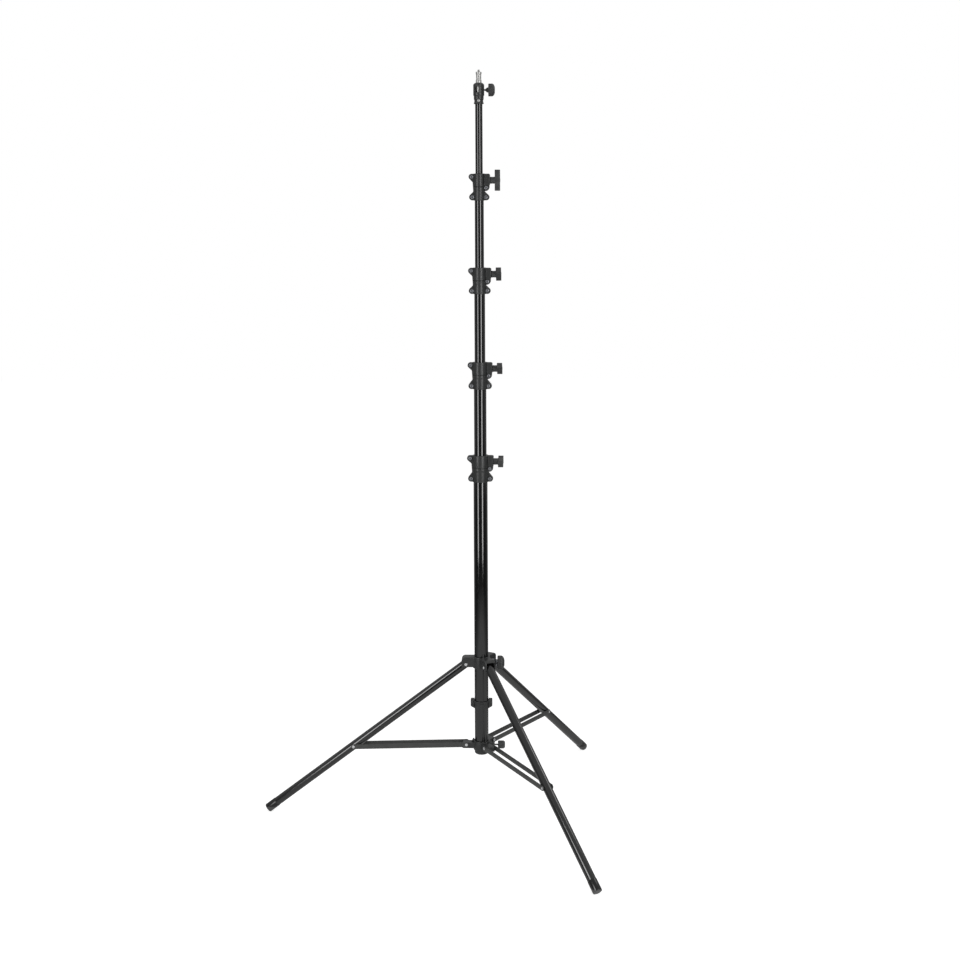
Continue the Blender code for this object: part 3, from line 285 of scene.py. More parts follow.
# Stop ring
RING_BAND_RADIUS = 0.0235
RING_BAND_HEIGHT = 0.0065
RING_SLEEVE_WALL = 0.0012
RING_HEIGHT = 0.0235
RING_EAR_REACH = 0.0315
RING_EAR_RISE = 0.0047
RING_EAR_HEIGHT = 0.0215
RING_EAR_HALF = 0.007
RING_WEB_DROP = 0.0065
RING_RIBS = 5
RING_RIB_FROM_TOP = 0.004
RING_RIB_STEP = 0.0035
RING_RIB_HALF = 0.0008
RING_RIB_LENGTH = 0.006
RING_RIB_PROUD = 0.0002
RING_RIB_DEEP = 0.0004
RING_SCREW_OUT = 0.0232
RING_SCREW_FLATS = 0.005
RING_SCREW_HEAD = 0.0022

# Facets round a tube, a small turned piece and a fluted knob, and along a corner, an edge and an arc
AROUND = 96
SMALL_AROUND = 48
FLUTED_AROUND = 192
CORNER_STEPS = 5
EDGE_STEPS = 4
ARC_STEPS = 16
# Points of an outline nearer than this are one, as are the ends of a whole turn
NEAR = 1e-6
MERGE_DISTANCE = 1e-7
# A corner whose half angle is wider than this counts as straight, and is not rounded
STRAIGHT_HALF = math.radians(89)
# A slab's edge is set in further at a corner, by 1 / cosine of half its turn, which is kept above this
CORNER_COSINE = 0.6
# An edge is sharp where its faces turn by more than this, and by less on a piece with a cut
SHARP_ANGLE = math.radians(40)
CUT_SHARP_ANGLE = math.radians(35)
# Most of a noise or cell pattern lies between these levels
PATTERN_SPREAD = (0.3, 0.7)

COLUMN_X = float(np.mean([corner[0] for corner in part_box("base_tube")]))
COLUMN = np.array((COLUMN_X, 0.0, 0.0))
UPRIGHT = np.eye(3)
UPWARDS = np.array((0.0, 0.0, 1.0))
# Rows are where a shape's own x, y and z go. A turned piece then lies along +X, and a slab's outline
# stands in XZ.
ALONG_X = np.array(((0.0, 1.0, 0.0), (0.0, 0.0, 1.0), (1.0, 0.0, 0.0)))
FACING_FRONT = np.array(((1.0, 0.0, 0.0), (0.0, 0.0, 1.0), (0.0, -1.0, 0.0)))
FACING_BACK = np.array(((-1.0, 0.0, 0.0), (0.0, 0.0, 1.0), (0.0, 1.0, 0.0)))


def linear(hex_colour):
    """An sRGB hex colour as linear red, green, blue and alpha."""
    levels = np.array([int(hex_colour[i : i + 2], 16) for i in (0, 2, 4)]) / 255
    toe, curve = levels / 12.92, ((levels + 0.055) / 1.055) ** 2.4
    return (*np.where(levels <= 0.04045, toe, curve), 1.0)


def add(tree, kind, settings=None, **inputs):
    """A node of one kind. A setting is one of its properties.

    An input is a value or a socket to link. It goes by its name, or by its number as in _0.
    """
    made = tree.nodes.new(kind)
    for name, value in (settings or {}).items():
        setattr(made, name, value)
    for name, value in inputs.items():
        socket = made.inputs[int(name[1:]) if name[1:].isdigit() else name.replace("_", " ")]
        if isinstance(value, bpy.types.NodeSocket):
            tree.links.new(value, socket)
        else:
            socket.default_value = value
    return made


def new_material(name, **settings):
    """A material with its tree, its Principled shader and its Object coordinates."""
    material = bpy.data.materials.new(name)
    material.use_nodes = True
    tree = material.node_tree
    shader = tree.nodes["Principled BSDF"]
    for socket, value in settings.items():
        shader.inputs[socket.replace("_", " ")].default_value = value
    place = add(tree, "ShaderNodeTexCoord").outputs["Object"]
    return material, tree, shader, place


def carry(start, end, low=0.0, high=1.0):
    """The limits of a Map Range node that carries start to end over to low to high."""
    return dict(From_Min=start, From_Max=end, To_Min=low, To_Max=high)


def mottle(tree, place, dark, light, size, detail=4.0):
    """A colour that drifts between two near shades over patches of one size, in metres."""
    noise = add(tree, "ShaderNodeTexNoise", Vector=place, Scale=1 / size, Detail=detail, Roughness=0.6)
    ramp = add(tree, "ShaderNodeValToRGB", Fac=noise.outputs["Fac"])
    for stop, position, shade in zip(ramp.color_ramp.elements, PATTERN_SPREAD, (dark, light)):
        stop.position = position
        stop.color = linear(shade)
    return ramp.outputs["Color"]


def surface(tree, shader, place, shades, gloss, *reliefs):
    """Gives a shader its colour, its roughness and its relief.

    shades are a dark and a light colour and the size of the patches they drift over, in metres. gloss is a
    pattern, and the roughness at its low and its high. A relief is a pattern, its height in metres and its
    strength, and each stands on the one before it.
    """
    pattern, smooth, rough = gloss
    roughness = add(tree, "ShaderNodeMapRange", Value=pattern, **carry(*PATTERN_SPREAD, smooth, rough))
    tree.links.new(mottle(tree, place, *shades), shader.inputs["Base Color"])
    tree.links.new(roughness.outputs["Result"], shader.inputs["Roughness"])
    under = {}
    for pattern, height, strength in reliefs:
        relief = add(tree, "ShaderNodeBump", Height=pattern, Distance=height, Strength=strength, **under)
        under = {"Normal": relief.outputs["Normal"]}
    if under:
        tree.links.new(under["Normal"], shader.inputs["Normal"])


def one_pattern(name, size, detail, shades, rough, relief=None, **settings):
    """A finish whose roughness, and relief if any, follow one noise pattern of a size in metres."""
    material, tree, shader, place = new_material(name, **settings)
    pattern = add(tree, "ShaderNodeTexNoise", Vector=place, Scale=1 / size, Detail=detail).outputs["Fac"]
    reliefs = [(pattern, *relief)] if relief else []
    surface(tree, shader, place, shades, (pattern, *rough), *reliefs)
    return material


def anodised_aluminium():
    """Black anodised aluminium tube, drawn through a die: near-black, glossy, with faint lines along it."""
    material, tree, shader, place = new_material("anodised_aluminium_drawn", IOR=1.77)
    # Draw lines 0.5 mm apart and 200 mm long; the real ones are finer
    along = add(tree, "ShaderNodeMapping", Vector=place, Scale=(1.0, 1.0, 0.0025)).outputs["Vector"]
    lines = add(tree, "ShaderNodeTexNoise", Vector=along, Scale=1 / 0.0005, Detail=2.0).outputs["Fac"]
    patches = add(tree, "ShaderNodeTexNoise", Vector=place, Scale=1 / 0.04, Detail=3.0).outputs["Fac"]
    surface(tree, shader, place, ("0c0c0d", "121313", 0.03), (patches, 0.08, 0.13), (lines, 0.00001, 0.2))
    return material


def powder_coated_casting():
    """Charcoal powder coat on die-cast alloy: even, satin, with a fine orange peel."""
    material, tree, shader, place = new_material("powder_coated_casting", IOR=1.5)
    # Orange peel in 1.2 mm waves over a 0.35 mm grain
    peel = add(tree, "ShaderNodeTexNoise", Vector=place, Scale=1 / 0.0012, Detail=3.0).outputs["Fac"]
    grain = add(tree, "ShaderNodeTexVoronoi", Vector=place, Scale=1 / 0.00035).outputs["Distance"]
    reliefs = ((peel, 0.00004, 0.5), (grain, 0.00002, 0.3))
    surface(tree, shader, place, ("2e2f2f", "353636", 0.006), (peel, 0.3, 0.38), *reliefs)
    return material


def moulded_nylon():
    """Glass-filled nylon knob, moulded in a spark-eroded tool: charcoal, matt, with an even fine grain."""
    material, tree, shader, place = new_material("moulded_glass_filled_nylon", IOR=1.53)
    # Spark-eroded grain, 0.4 mm across so that it shows
    grain = add(tree, "ShaderNodeTexVoronoi", Vector=place, Scale=1 / 0.0004).outputs["Distance"]
    flow = add(tree, "ShaderNodeTexNoise", Vector=place, Scale=1 / 0.008, Detail=4.0).outputs["Fac"]
    surface(tree, shader, place, ("333434", "3b3c3c", 0.012), (flow, 0.42, 0.54), (grain, 0.00004, 0.5))
    return material


def turned_nickel():
    """Turned steel spigot with bright nickel plate: the tool leaves rings round it, 0.35 mm apart."""
    material, tree, shader, place = new_material("nickel_plated_turned_steel", Metallic=0.7)
    # A wave texture has 20 waves to its unit of scale
    waves = {"wave_type": "BANDS", "bands_direction": "Z"}
    rings = add(tree, "ShaderNodeTexWave", waves, Vector=place, Scale=1 / 0.00035 / 20, Distortion=0.4)
    cloud = add(tree, "ShaderNodeTexNoise", Vector=place, Scale=1 / 0.004, Detail=3.0).outputs["Fac"]
    relief = (rings.outputs["Fac"], 0.00001, 0.25)
    surface(tree, shader, place, ("bcbcba", "d0d0ce", 0.004), (cloud, 0.38, 0.46), relief)
    return material


def dipped_vinyl():
    """Black vinyl foot cap, dip-moulded: smooth and glossy, rubbed dull at the floor, and painted lighter grey
    there as a painted reflection of the floor.
    """
    material, tree, shader, place = new_material("dip_moulded_vinyl", IOR=1.53)
    # Painted reflection: the cap's end and lowest rim get a lighter grey for the white floor's reflection there,
    # and a higher roughness for the rub of the floor
    height = add(tree, "ShaderNodeSeparateXYZ", Vector=place).outputs["Z"]
    rub_and_shine_range = carry(RUB_AND_FLOOR_SHINE_TOP - RUB_AND_FLOOR_SHINE_FADE, RUB_AND_FLOOR_SHINE_TOP, 1.0, 0.0)
    rubbed_and_shining = add(tree, "ShaderNodeMapRange", Value=height, **rub_and_shine_range).outputs["Result"]
    clean = mottle(tree, place, "0e0e0f", "181818", 0.004, 6.0)
    colour = add(tree, "ShaderNodeMix", {"data_type": "RGBA"}, _0=rubbed_and_shining, _6=clean, _7=linear("4a4a4a"))
    roughness = add(tree, "ShaderNodeMapRange", Value=rubbed_and_shining, **carry(0.0, 1.0, 0.11, 0.36))
    tree.links.new(colour.outputs[2], shader.inputs["Base Color"])
    tree.links.new(roughness.outputs["Result"], shader.inputs["Roughness"])
    return material


FINISHES = {
    "anodised_tube": anodised_aluminium(),
    "cast_alloy": powder_coated_casting(),
    "moulded_plastic": moulded_nylon(),
    "rubber": dipped_vinyl(),
    "nickel": turned_nickel(),
    # Stay bars of cold-rolled steel strip under dark grey stove enamel: satin, with a faint orange peel
    "painted_steel": one_pattern(
        "stove_enamelled_steel", 0.0015, 3.0,
        ("3d3e3d", "464746", 0.01), (0.38, 0.5), (0.00004, 0.5), IOR=1.5,
    ),
    # Bright zinc plate on steel fasteners: pale, with cloudy patches where the bath left it duller
    "zinc_plate": one_pattern(
        "zinc_plated_steel", 0.002, 4.0,
        ("84868a", "9c9ea2", 0.003), (0.34, 0.46), (0.00002, 0.3), Metallic=0.8,
    ),
    # Steel rivet heads, burnished by the setting tool: bright and soft, with fine scratches
    "rivet": one_pattern(
        "burnished_steel", 0.0008, 5.0,
        ("cccdce", "e2e3e4", 0.003), (0.4, 0.52), (0.00002, 0.3), Metallic=0.6,
    ),
    # Uncoloured nylon of guide plugs and pads: a warm, waxy white
    "nylon": one_pattern("natural_nylon", 0.006, 3.0, ("cfccc2", "dcdad2", 0.01), (0.4, 0.55), IOR=1.53),
}


def unit(vectors):
    """Vectors brought to length 1."""
    return vectors / np.linalg.norm(vectors, axis=-1, keepdims=True)


def filleted(*corners):
    """An outline with its corners rounded. A corner is (x, y, radius), and its arc touches both its sides.

    The arc runs in the angle between the sides: its centre is radius / sin(half the angle) along the
    bisector, and it is stepped evenly between the two points where it touches.
    """
    corners = np.array(corners, float)
    out = []
    count = len(corners)
    for i in range(count):
        here, radius = corners[i, :2], corners[i, 2]
        if radius <= 0:
            out.append(here[None])
            continue
        before, after = unit(corners[i - 1, :2] - here), unit(corners[(i + 1) % count, :2] - here)
        half = math.acos(np.clip(before @ after, -1, 1)) / 2
        if half > STRAIGHT_HALF:
            out.append(here[None])
            continue
        centre = here + unit(before + after) * radius / math.sin(half)
        start = here + before * radius / math.tan(half) - centre
        end = here + after * radius / math.tan(half) - centre
        first = math.atan2(start[1], start[0])
        sweep = (math.atan2(end[1], end[0]) - first + math.pi) % (2 * math.pi) - math.pi
        angles = first + sweep * np.linspace(0, 1, CORNER_STEPS + 1)
        out.append(centre + radius * np.stack((np.cos(angles), np.sin(angles)), 1))
    return np.concatenate(out)


def block(near, far, low, high, low_round=0.0, high_round=0.0, near_round=0.0):
    """The outline or profile of a block from near to far and from low to high, with its corners rounded."""
    far_corners = [(far, low, low_round), (far, high, high_round)]
    return filleted((near, low, near_round), *far_corners, (near, high, near_round))


def arc(x, y, radius, first, last):
    """Corners with no rounding along an arc, angles in degrees."""
    angles = np.radians(np.linspace(first, last, ARC_STEPS + 1))
    return np.stack((x + radius * np.cos(angles), y + radius * np.sin(angles), 0 * angles), 1).tolist()


def lattice_faces(rows, columns, around_rows=False, around_columns=True):
    """The quads of a grid of points in row order, closed on itself along rows or columns where asked."""
    rows_of_quads = np.arange(rows if around_rows else rows - 1)
    columns_of_quads = np.arange(columns if around_columns else columns - 1)
    i, j = np.meshgrid(rows_of_quads, columns_of_quads, indexing="ij")
    up, over = (i + 1) % rows, (j + 1) % columns
    quads = np.stack((i * columns + j, up * columns + j, up * columns + over, i * columns + over), -1)
    return quads.reshape(-1, 4)


def first_and_last(rows, columns):
    """The end faces of a grid that is closed along its columns: its first row and its last."""
    return [np.arange(columns), (rows - 1) * columns + np.arange(columns)]


def piece(name, body, finish, shells, replaces=()):
    """One mesh of several shells, each (points, faces, ends), with doubles merged and normals outwards."""
    points, faces, count = [], [], 0
    for shell_points, quads, ends in shells:
        points.append(shell_points)
        faces += (quads + count).tolist()
        faces += [(end + count).tolist() for end in ends]
        count += len(shell_points)
    mesh = bpy.data.meshes.new(name)
    mesh.from_pydata(np.concatenate(points), [], faces)
    merged = bmesh.new()
    merged.from_mesh(mesh)
    bmesh.ops.remove_doubles(merged, verts=merged.verts, dist=MERGE_DISTANCE)
    bmesh.ops.recalc_face_normals(merged, faces=merged.faces)
    merged.to_mesh(mesh)
    merged.free()
    mesh.shade_smooth()
    mesh.set_sharp_from_angle(angle=SHARP_ANGLE)
    mesh.materials.append(FINISHES[finish])
    obj = in_scene(name, mesh)
    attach(obj, body)
    if replaces:
        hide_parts(*replaces)
    return obj


def in_scene(name, data):
    """A new object that holds a mesh, a lamp or a camera, linked into the scene."""
    obj = bpy.data.objects.new(name, data)
    bpy.context.scene.collection.objects.link(obj)
    return obj


def cut(obj, cutter):
    """Takes a cutter's solid out of a piece, and the cutter out of the scene."""
    modifier = obj.modifiers.new("cut", "BOOLEAN")
    modifier.object, modifier.solver, modifier.operation = cutter, "EXACT", "DIFFERENCE"
    mesh = bpy.data.meshes.new_from_object(obj.evaluated_get(bpy.context.evaluated_depsgraph_get()))
    obj.modifiers.clear()
    obj.data = mesh
    mesh.set_sharp_from_angle(angle=CUT_SHARP_ANGLE)
    bpy.data.objects.remove(cutter)


def placed(points, origin, axes):
    """Points of a shape in its own x, y, z, carried to an origin and to the directions in axes' rows."""
    return np.asarray(origin) + points @ axes


def carried_round(reach, angles, height):
    """Points round a z axis, row by row: x = reach cos t, y = reach sin t, z = height."""
    points = (reach * np.cos(angles), reach * np.sin(angles), height[:, None] + 0 * angles)
    return np.stack(points, -1).reshape(-1, 3)


def turned(profile, origin, axes, around=AROUND, first=0.0, last=2 * math.pi, closed=False):
    """A surface of revolution: the point at (radius, height) of the profile is carried round its z axis.

    The turn t goes from first to last. A part turn of a closed profile has flat ends.
    """
    whole = last - first > 2 * math.pi - NEAR
    angles = np.linspace(first, last, around + 1)
    angles = angles[:-1] if whole else angles
    radius, height = profile.T
    rows, columns = len(radius), len(angles)
    first_column = np.arange(rows) * columns
    ends = [first_column, first_column + columns - 1] if closed and not whole else []
    points = carried_round(radius[:, None], angles, height)
    return placed(points, origin, axes), lattice_faces(rows, columns, closed, whole), ends


def fluted(profile, flutes, depth, inner, origin, axes):
    """A surface of revolution with finger flutes, which fade out towards an inner radius.

    radius(t) = radius - depth * weight * ((1 + cos(flutes * t)) / 2) ** 2. The weight goes smoothly from 0
    at the inner radius to 1 at the profile's widest.
    """
    angles = np.linspace(0, 2 * math.pi, FLUTED_AROUND, endpoint=False)
    radius, height = profile.T
    share = np.clip((radius - inner) / (radius.max() - inner), 0, 1)
    weight = share * share * (3 - 2 * share)
    reach = radius[:, None] - weight[:, None] * depth * ((1 + np.cos(flutes * angles)) / 2) ** 2
    points = carried_round(reach, angles, height)
    return placed(points, origin, axes), lattice_faces(len(radius), FLUTED_AROUND), []


def slab(outline, low, high, origin, axes, low_edge=CAST_EDGE, high_edge=None):
    """A flat piece with rounded edges, from low to high along its z, over an outline in its x and y.

    Ring k of the surface is the outline moved inwards by edge * (1 - sin a) at a height edge * (1 - cos a)
    inside each face, with a from 0 at the face to a quarter turn at the side.
    """
    high_edge = low_edge if high_edge is None else high_edge
    outline = outline[np.linalg.norm(outline - np.roll(outline, 1, 0), axis=1) > NEAR]
    ahead, behind = unit(np.roll(outline, -1, 0) - outline), unit(outline - np.roll(outline, 1, 0))
    way = unit(ahead + behind)
    area = np.sum(outline[:, 0] * np.roll(outline[:, 1], -1) - outline[:, 1] * np.roll(outline[:, 0], -1))
    inwards = np.stack((-way[:, 1], way[:, 0]), 1) * np.sign(area)
    stretch = 1 / np.clip(np.sum(way * ahead, axis=1), CORNER_COSINE, 1)
    turn = np.linspace(0, math.pi / 2, EDGE_STEPS + 1)
    back = turn[::-1]
    moved = np.concatenate((low_edge * (1 - np.sin(turn)), high_edge * (1 - np.sin(back))))
    heights = np.concatenate((low + low_edge * (1 - np.cos(turn)), high - high_edge * (1 - np.cos(back))))
    rings = outline[None] + moved[:, None, None] * (inwards * stretch[:, None])[None]
    points = np.concatenate((rings, np.broadcast_to(heights[:, None, None], (*rings.shape[:2], 1))), -1)
    size = rings.shape[:2]
    return placed(points.reshape(-1, 3), origin, axes), lattice_faces(*size), first_and_last(*size)


def threaded(radius, start, end, origin, axes, pitch=THREAD_PITCH):
    """A screw thread, closed at its ends: the radius is a saw of the height and the turn.

    radius(h, t) = radius - depth * |2 * frac(h / pitch - t / 2 pi) - 1|.
    """
    rows = max(math.ceil((end - start) / pitch * THREAD_ROWS), THREAD_ROWS) + 1
    height = np.linspace(start, end, rows)
    angles = np.linspace(0, 2 * math.pi, SMALL_AROUND, endpoint=False)
    phase = height[:, None] / pitch - angles / (2 * math.pi)
    reach = radius - THREAD_DEPTH * pitch * np.abs(2 * (phase % 1) - 1)
    points = placed(carried_round(reach, angles, height), origin, axes)
    return points, lattice_faces(rows, SMALL_AROUND), first_and_last(rows, SMALL_AROUND)


def upright_from(azimuth):
    """Axes of a slab seen from its side: outline x outwards at an azimuth, outline y up, z sideways."""
    c, s = math.cos(azimuth), math.sin(azimuth)
    return np.array(((c, s, 0.0), (0.0, 0.0, 1.0), (s, -c, 0.0)))


def joint_place(name):
    return np.array(JOINTS[name]["pos_m"])


def leg_pivot(number):
    return joint_place(f"leg_{number}_hinge")


def stay_pivot(number):
    return joint_place(f"stay_{number}_hinge")


def leg_azimuth(number):
    place = leg_pivot(number) - COLUMN
    return math.atan2(place[1], place[0])


def leg_ways(number):
    """A leg's directions: sideways, and down along its own axis."""
    out, up, side = upright_from(leg_azimuth(number))
    return side, out * math.sin(LEG_SPREAD) - up * math.cos(LEG_SPREAD)


def levels(node):
    """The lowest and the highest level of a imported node."""
    low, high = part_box(node)
    return low[2], high[2]


def half_width(node):
    low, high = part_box(node)
    return float(high[0] - low[0]) / 2


def tube_radius(k):
    return half_width(TUBE_NODES[k])


def tube_shell(radius, low, high, origin, axes):
    """A drawn tube with its two cut ends just broken."""
    inner, broken = radius - TUBE_WALL, TUBE_WALL / 4
    outside = [(radius, high, broken), (radius, low, broken)]
    profile = filleted(*outside, (inner, low, broken), (inner, high, broken))
    return turned(profile, origin, axes, closed=True)


def column_tubes():
    """The base tube and the four risers."""
    for k, node in enumerate(TUBE_NODES):
        body = "base" if k == 0 else f"riser_{k}"
        shell = tube_shell(tube_radius(k), *levels(node), COLUMN, UPRIGHT)
        piece(f"{node}_drawn", body, "anodised_tube", [shell], [node])


def hex_head(centre, axes, flats=BOLT_FLATS, height=BOLT_HEAD):
    """A hexagon head with a washer under it and a dished top, standing along the axes' z from centre.

    The hexagon's radius at a turn t is half the flats over cos(t modulo a sixth of a turn), and the top is
    chamfered where it would pass a circle just wider than the flats.
    """
    angles = np.linspace(0, 2 * math.pi, SMALL_AROUND, endpoint=False)
    sixth = math.pi / 3
    hexagon = flats / 2 / np.cos((angles + sixth / 2) % sixth - sixth / 2)
    circle = np.full_like(angles, flats / 2)
    # Rings up the flats, over the chamfer, across the rim and down into the dish
    rings = (
        (hexagon, WASHER_HEIGHT),
        (hexagon, height * 0.82),
        (np.minimum(hexagon, flats / 2 * 1.06), height * 0.93),
        (circle * 0.94, height),
        (circle * 0.5, height),
        (circle * 0.42, height * 0.25),
        (circle * 0.0, height * 0.25),
    )
    reach, level = np.array([ring for ring, _ in rings]), np.array([level for _, level in rings])
    points = placed(carried_round(reach, angles, level), centre, axes)
    head = (points, lattice_faces(len(rings), SMALL_AROUND), [np.arange(SMALL_AROUND)])
    washer = block(0.0, WASHER_RADIUS, 0.0, WASHER_HEIGHT, 0.0, WASHER_HEIGHT / 3)
    return [head, turned(washer, centre, axes, SMALL_AROUND)]


def domed_head(centre, axes, radius=RIVET_HEAD_RADIUS, height=RIVET_HEAD_HEIGHT):
    """A set rivet head: a thin rim and, a step inside its edge, a dome that is half of a flattened ball."""
    turn = np.linspace(math.pi / 2, 0, 9)
    dome = np.stack((radius * 0.96 * np.sin(turn), height * 0.35 + height * 0.65 * np.cos(turn)), 1)
    profile = np.concatenate(([(0, -height), (radius, -height), (radius, height * 0.3)], dome))
    return turned(profile, centre, axes, SMALL_AROUND)


def collar_outlines(k, bottom, top):
    """The ear plates' outlines, left and right, and the bolts' places, seen from the front.

    The column's axis is at x = 0. The upper left bolt stands a step further out on each lower collar.
    """
    r, right_side = tube_radius(k), tube_radius(k) + BOSS_OUT
    foot, head = bottom + EAR_EDGE_STEP, top - EAR_EDGE_STEP
    low, high = bottom + EAR_RADIUS + EAR_EDGE_STEP, top - UPPER_EAR_RADIUS - EAR_EDGE_STEP
    upper_left = -r - (UPPER_BOLT_OUT + UPPER_BOLT_STEP * (3 - k))
    inside = r + BARREL_WALL * 0.4
    left = filleted(
        *arc(-r - LEFT_BOLT_OUT, low, EAR_RADIUS, 140, 270),
        (-inside, foot, 0),
        (-inside, head, 0),
        *arc(upper_left, high, UPPER_EAR_RADIUS, 90, 220),
        (-r - SHOULDER_OUT, top - SHOULDER_DROP, 0.004),
        (-r - WAIST_OUT, top - WAIST_DROP, 0.004),
    )
    right = filleted(
        (inside, foot, 0),
        *arc(r + RIGHT_BOLT_OUT, low, EAR_RADIUS, 270, 400),
        (r + WAIST_OUT, top - WAIST_DROP, 0.001),
        *arc(right_side - BOSS_ROUND_RADIUS, top - BOSS_ROUND_DROP, BOSS_ROUND_RADIUS, 265, 360),
        (right_side, head, BOSS_CORNER),
        (inside, head, 0),
    )
    below = [(-r - LEFT_BOLT_OUT, low), (r + LEFT_BOLT_OUT, low)]
    return left, right, [*below, (r + BOSS_BOLT_OUT, top - BOSS_BOLT_DROP), (upper_left, high)]


def collar_halves():
    """The four riser collars in front and back halves: part-turned barrels, ears, knob bosses and bolts."""
    for k in range(4):
        number = k + 1
        body = "base" if k == 0 else f"riser_{k}"
        bottom, top = levels(f"collar_{number}_front_half")
        r, riser = tube_radius(k), tube_radius(k + 1)
        upper, lower, groove = r + BARREL_WALL, r + LOWER_WALL, r + BARREL_WALL - SEAM_DEPTH
        seam = top - SEAM_DROP
        lip = seam - SEAM_HEIGHT
        seat = bottom + TUBE_GRIP + FIT
        barrel = filleted(
            (upper, top, 0.0012),
            (upper, seam, 0.0005),
            (groove, seam - SEAM_HEIGHT * 0.3, 0.0003),
            (groove, seam - SEAM_HEIGHT * 0.7, 0.0003),
            (upper, lip, 0.0006),
            (upper, lip - BEAD_HEIGHT, 0.002),
            (lower, lip - BEAD_HEIGHT * 2, 0.002),
            (lower, bottom, 0.001),
            (r + FIT, bottom, 0.0004),
            (r + FIT, seat, 0),
            (riser + RUNNING_FIT, seat, 0),
            (riser + RUNNING_FIT, top, 0.0006),
        )
        near, far = r + BARREL_WALL / 2, r + BOSS_OUT + BOSS_PROUD
        boss = block(near, far, top - BOSS_DEPTH, top - BOSS_DROP, 0.004, 0.0025)
        left, right, bolts = collar_outlines(k, bottom, top)
        slit = math.asin(SPLIT / 2 / r)
        for side, label, axes in ((1, "front", FACING_FRONT), (-1, "back", FACING_BACK)):
            first, last = (math.pi + slit, 2 * math.pi - slit) if side > 0 else (slit, math.pi - slit)
            thick = sorted((side * SPLIT / 2, side * EAR_THICKNESS))
            deep = sorted((side * SPLIT / 2, side * BOSS_HALF_WIDTH))
            shells = [
                turned(barrel, COLUMN, UPRIGHT, AROUND // 2, first, last, closed=True),
                slab(left, *thick, COLUMN, FACING_FRONT),
                slab(right, *thick, COLUMN, FACING_FRONT),
                slab(boss, *deep, COLUMN, FACING_FRONT, 0.0015),
            ]
            half = f"collar_{number}_{label}_half"
            piece(f"{half}_cast", body, "cast_alloy", shells, [half])
            heads = []
            for x, z in bolts:
                heads += hex_head(COLUMN + np.array((x, -side * EAR_THICKNESS, z)), axes)
            piece(f"collar_{number}_{label}_bolts", body, "zinc_plate", heads)


def t_knobs():
    """The T-knobs: a waisted stem, a rounded bar with grip ribs near its ends, and a plug in its face."""
    half_w, half_l = BAR_WIDTH / 2, BAR_LENGTH / 2
    bar = block(-half_w, half_w, -half_l, half_l, BAR_CORNER, BAR_CORNER, BAR_CORNER)
    for k, angle in enumerate(KNOB_TURN):
        number = k + 1
        origin = joint_place(f"clamp_knob_{number}_turn")
        start = tube_radius(k) + BOSS_OUT + BOSS_PROUD + FIT
        end = start + STEM_LENGTH
        face = end + BAR_THICKNESS
        # The bar's long side starts upright and is turned about +X
        along = np.array((0.0, -math.sin(angle), math.cos(angle)))
        across = np.array((0.0, math.cos(angle), math.sin(angle)))
        bar_axes = np.array((across, along, (1.0, 0.0, 0.0)))
        stem = filleted(
            (0.0, start, 0),
            (STEM_RADIUS, start, 0.0008),
            (STEM_RADIUS, start + 0.003, 0.001),
            (STEM_WAIST, (start + end) / 2, 0.006),
            (STEM_RADIUS, end - 0.001, 0.001),
            (STEM_RADIUS, end + 0.002, 0),
            (0.0, end + 0.002, 0),
        )
        shells = [
            slab(bar, end, face, origin, bar_axes, BAR_EDGE),
            turned(stem, origin, ALONG_X, SMALL_AROUND * 2),
        ]
        reach, edge = half_w + GRIP_RIB_PROUD, GRIP_RIB_EDGE
        for way in (-1, 1):
            for step in range(GRIP_RIBS):
                middle = way * (half_l - GRIP_RIB_FROM_END - step * GRIP_RIB_STEP)
                low, high = middle - GRIP_RIB_HALF, middle + GRIP_RIB_HALF
                rib = block(-reach, reach, low, high, edge, edge, edge)
                deep = (end + GRIP_RIB_INSET, face - GRIP_RIB_INSET)
                shells.append(slab(rib, *deep, origin, bar_axes, edge))
        plug = block(0.0, PLUG_RADIUS, face - 0.001, face + PLUG_PROUD, 0.0, 0.0003)
        shells.append(turned(plug, origin, ALONG_X, SMALL_AROUND))
        node = f"collar_{number}_t_knob"
        piece(f"{node}_moulded", f"clamp_knob_{number}", "moulded_plastic", shells, [node])


def grip_profile(hub, rim, back, front, dome, edge):
    """A knob's profile from its hub outwards: a flat back, a rounded rim and a domed face."""
    return filleted(
        (hub, back, 0),
        (rim, back, edge),
        (rim, front - dome * 1.3, dome * 0.8),
        (rim * 0.82, front - dome * 0.45, dome),
        (rim * 0.45, front, dome),
        (0.0, front, 0),
    )


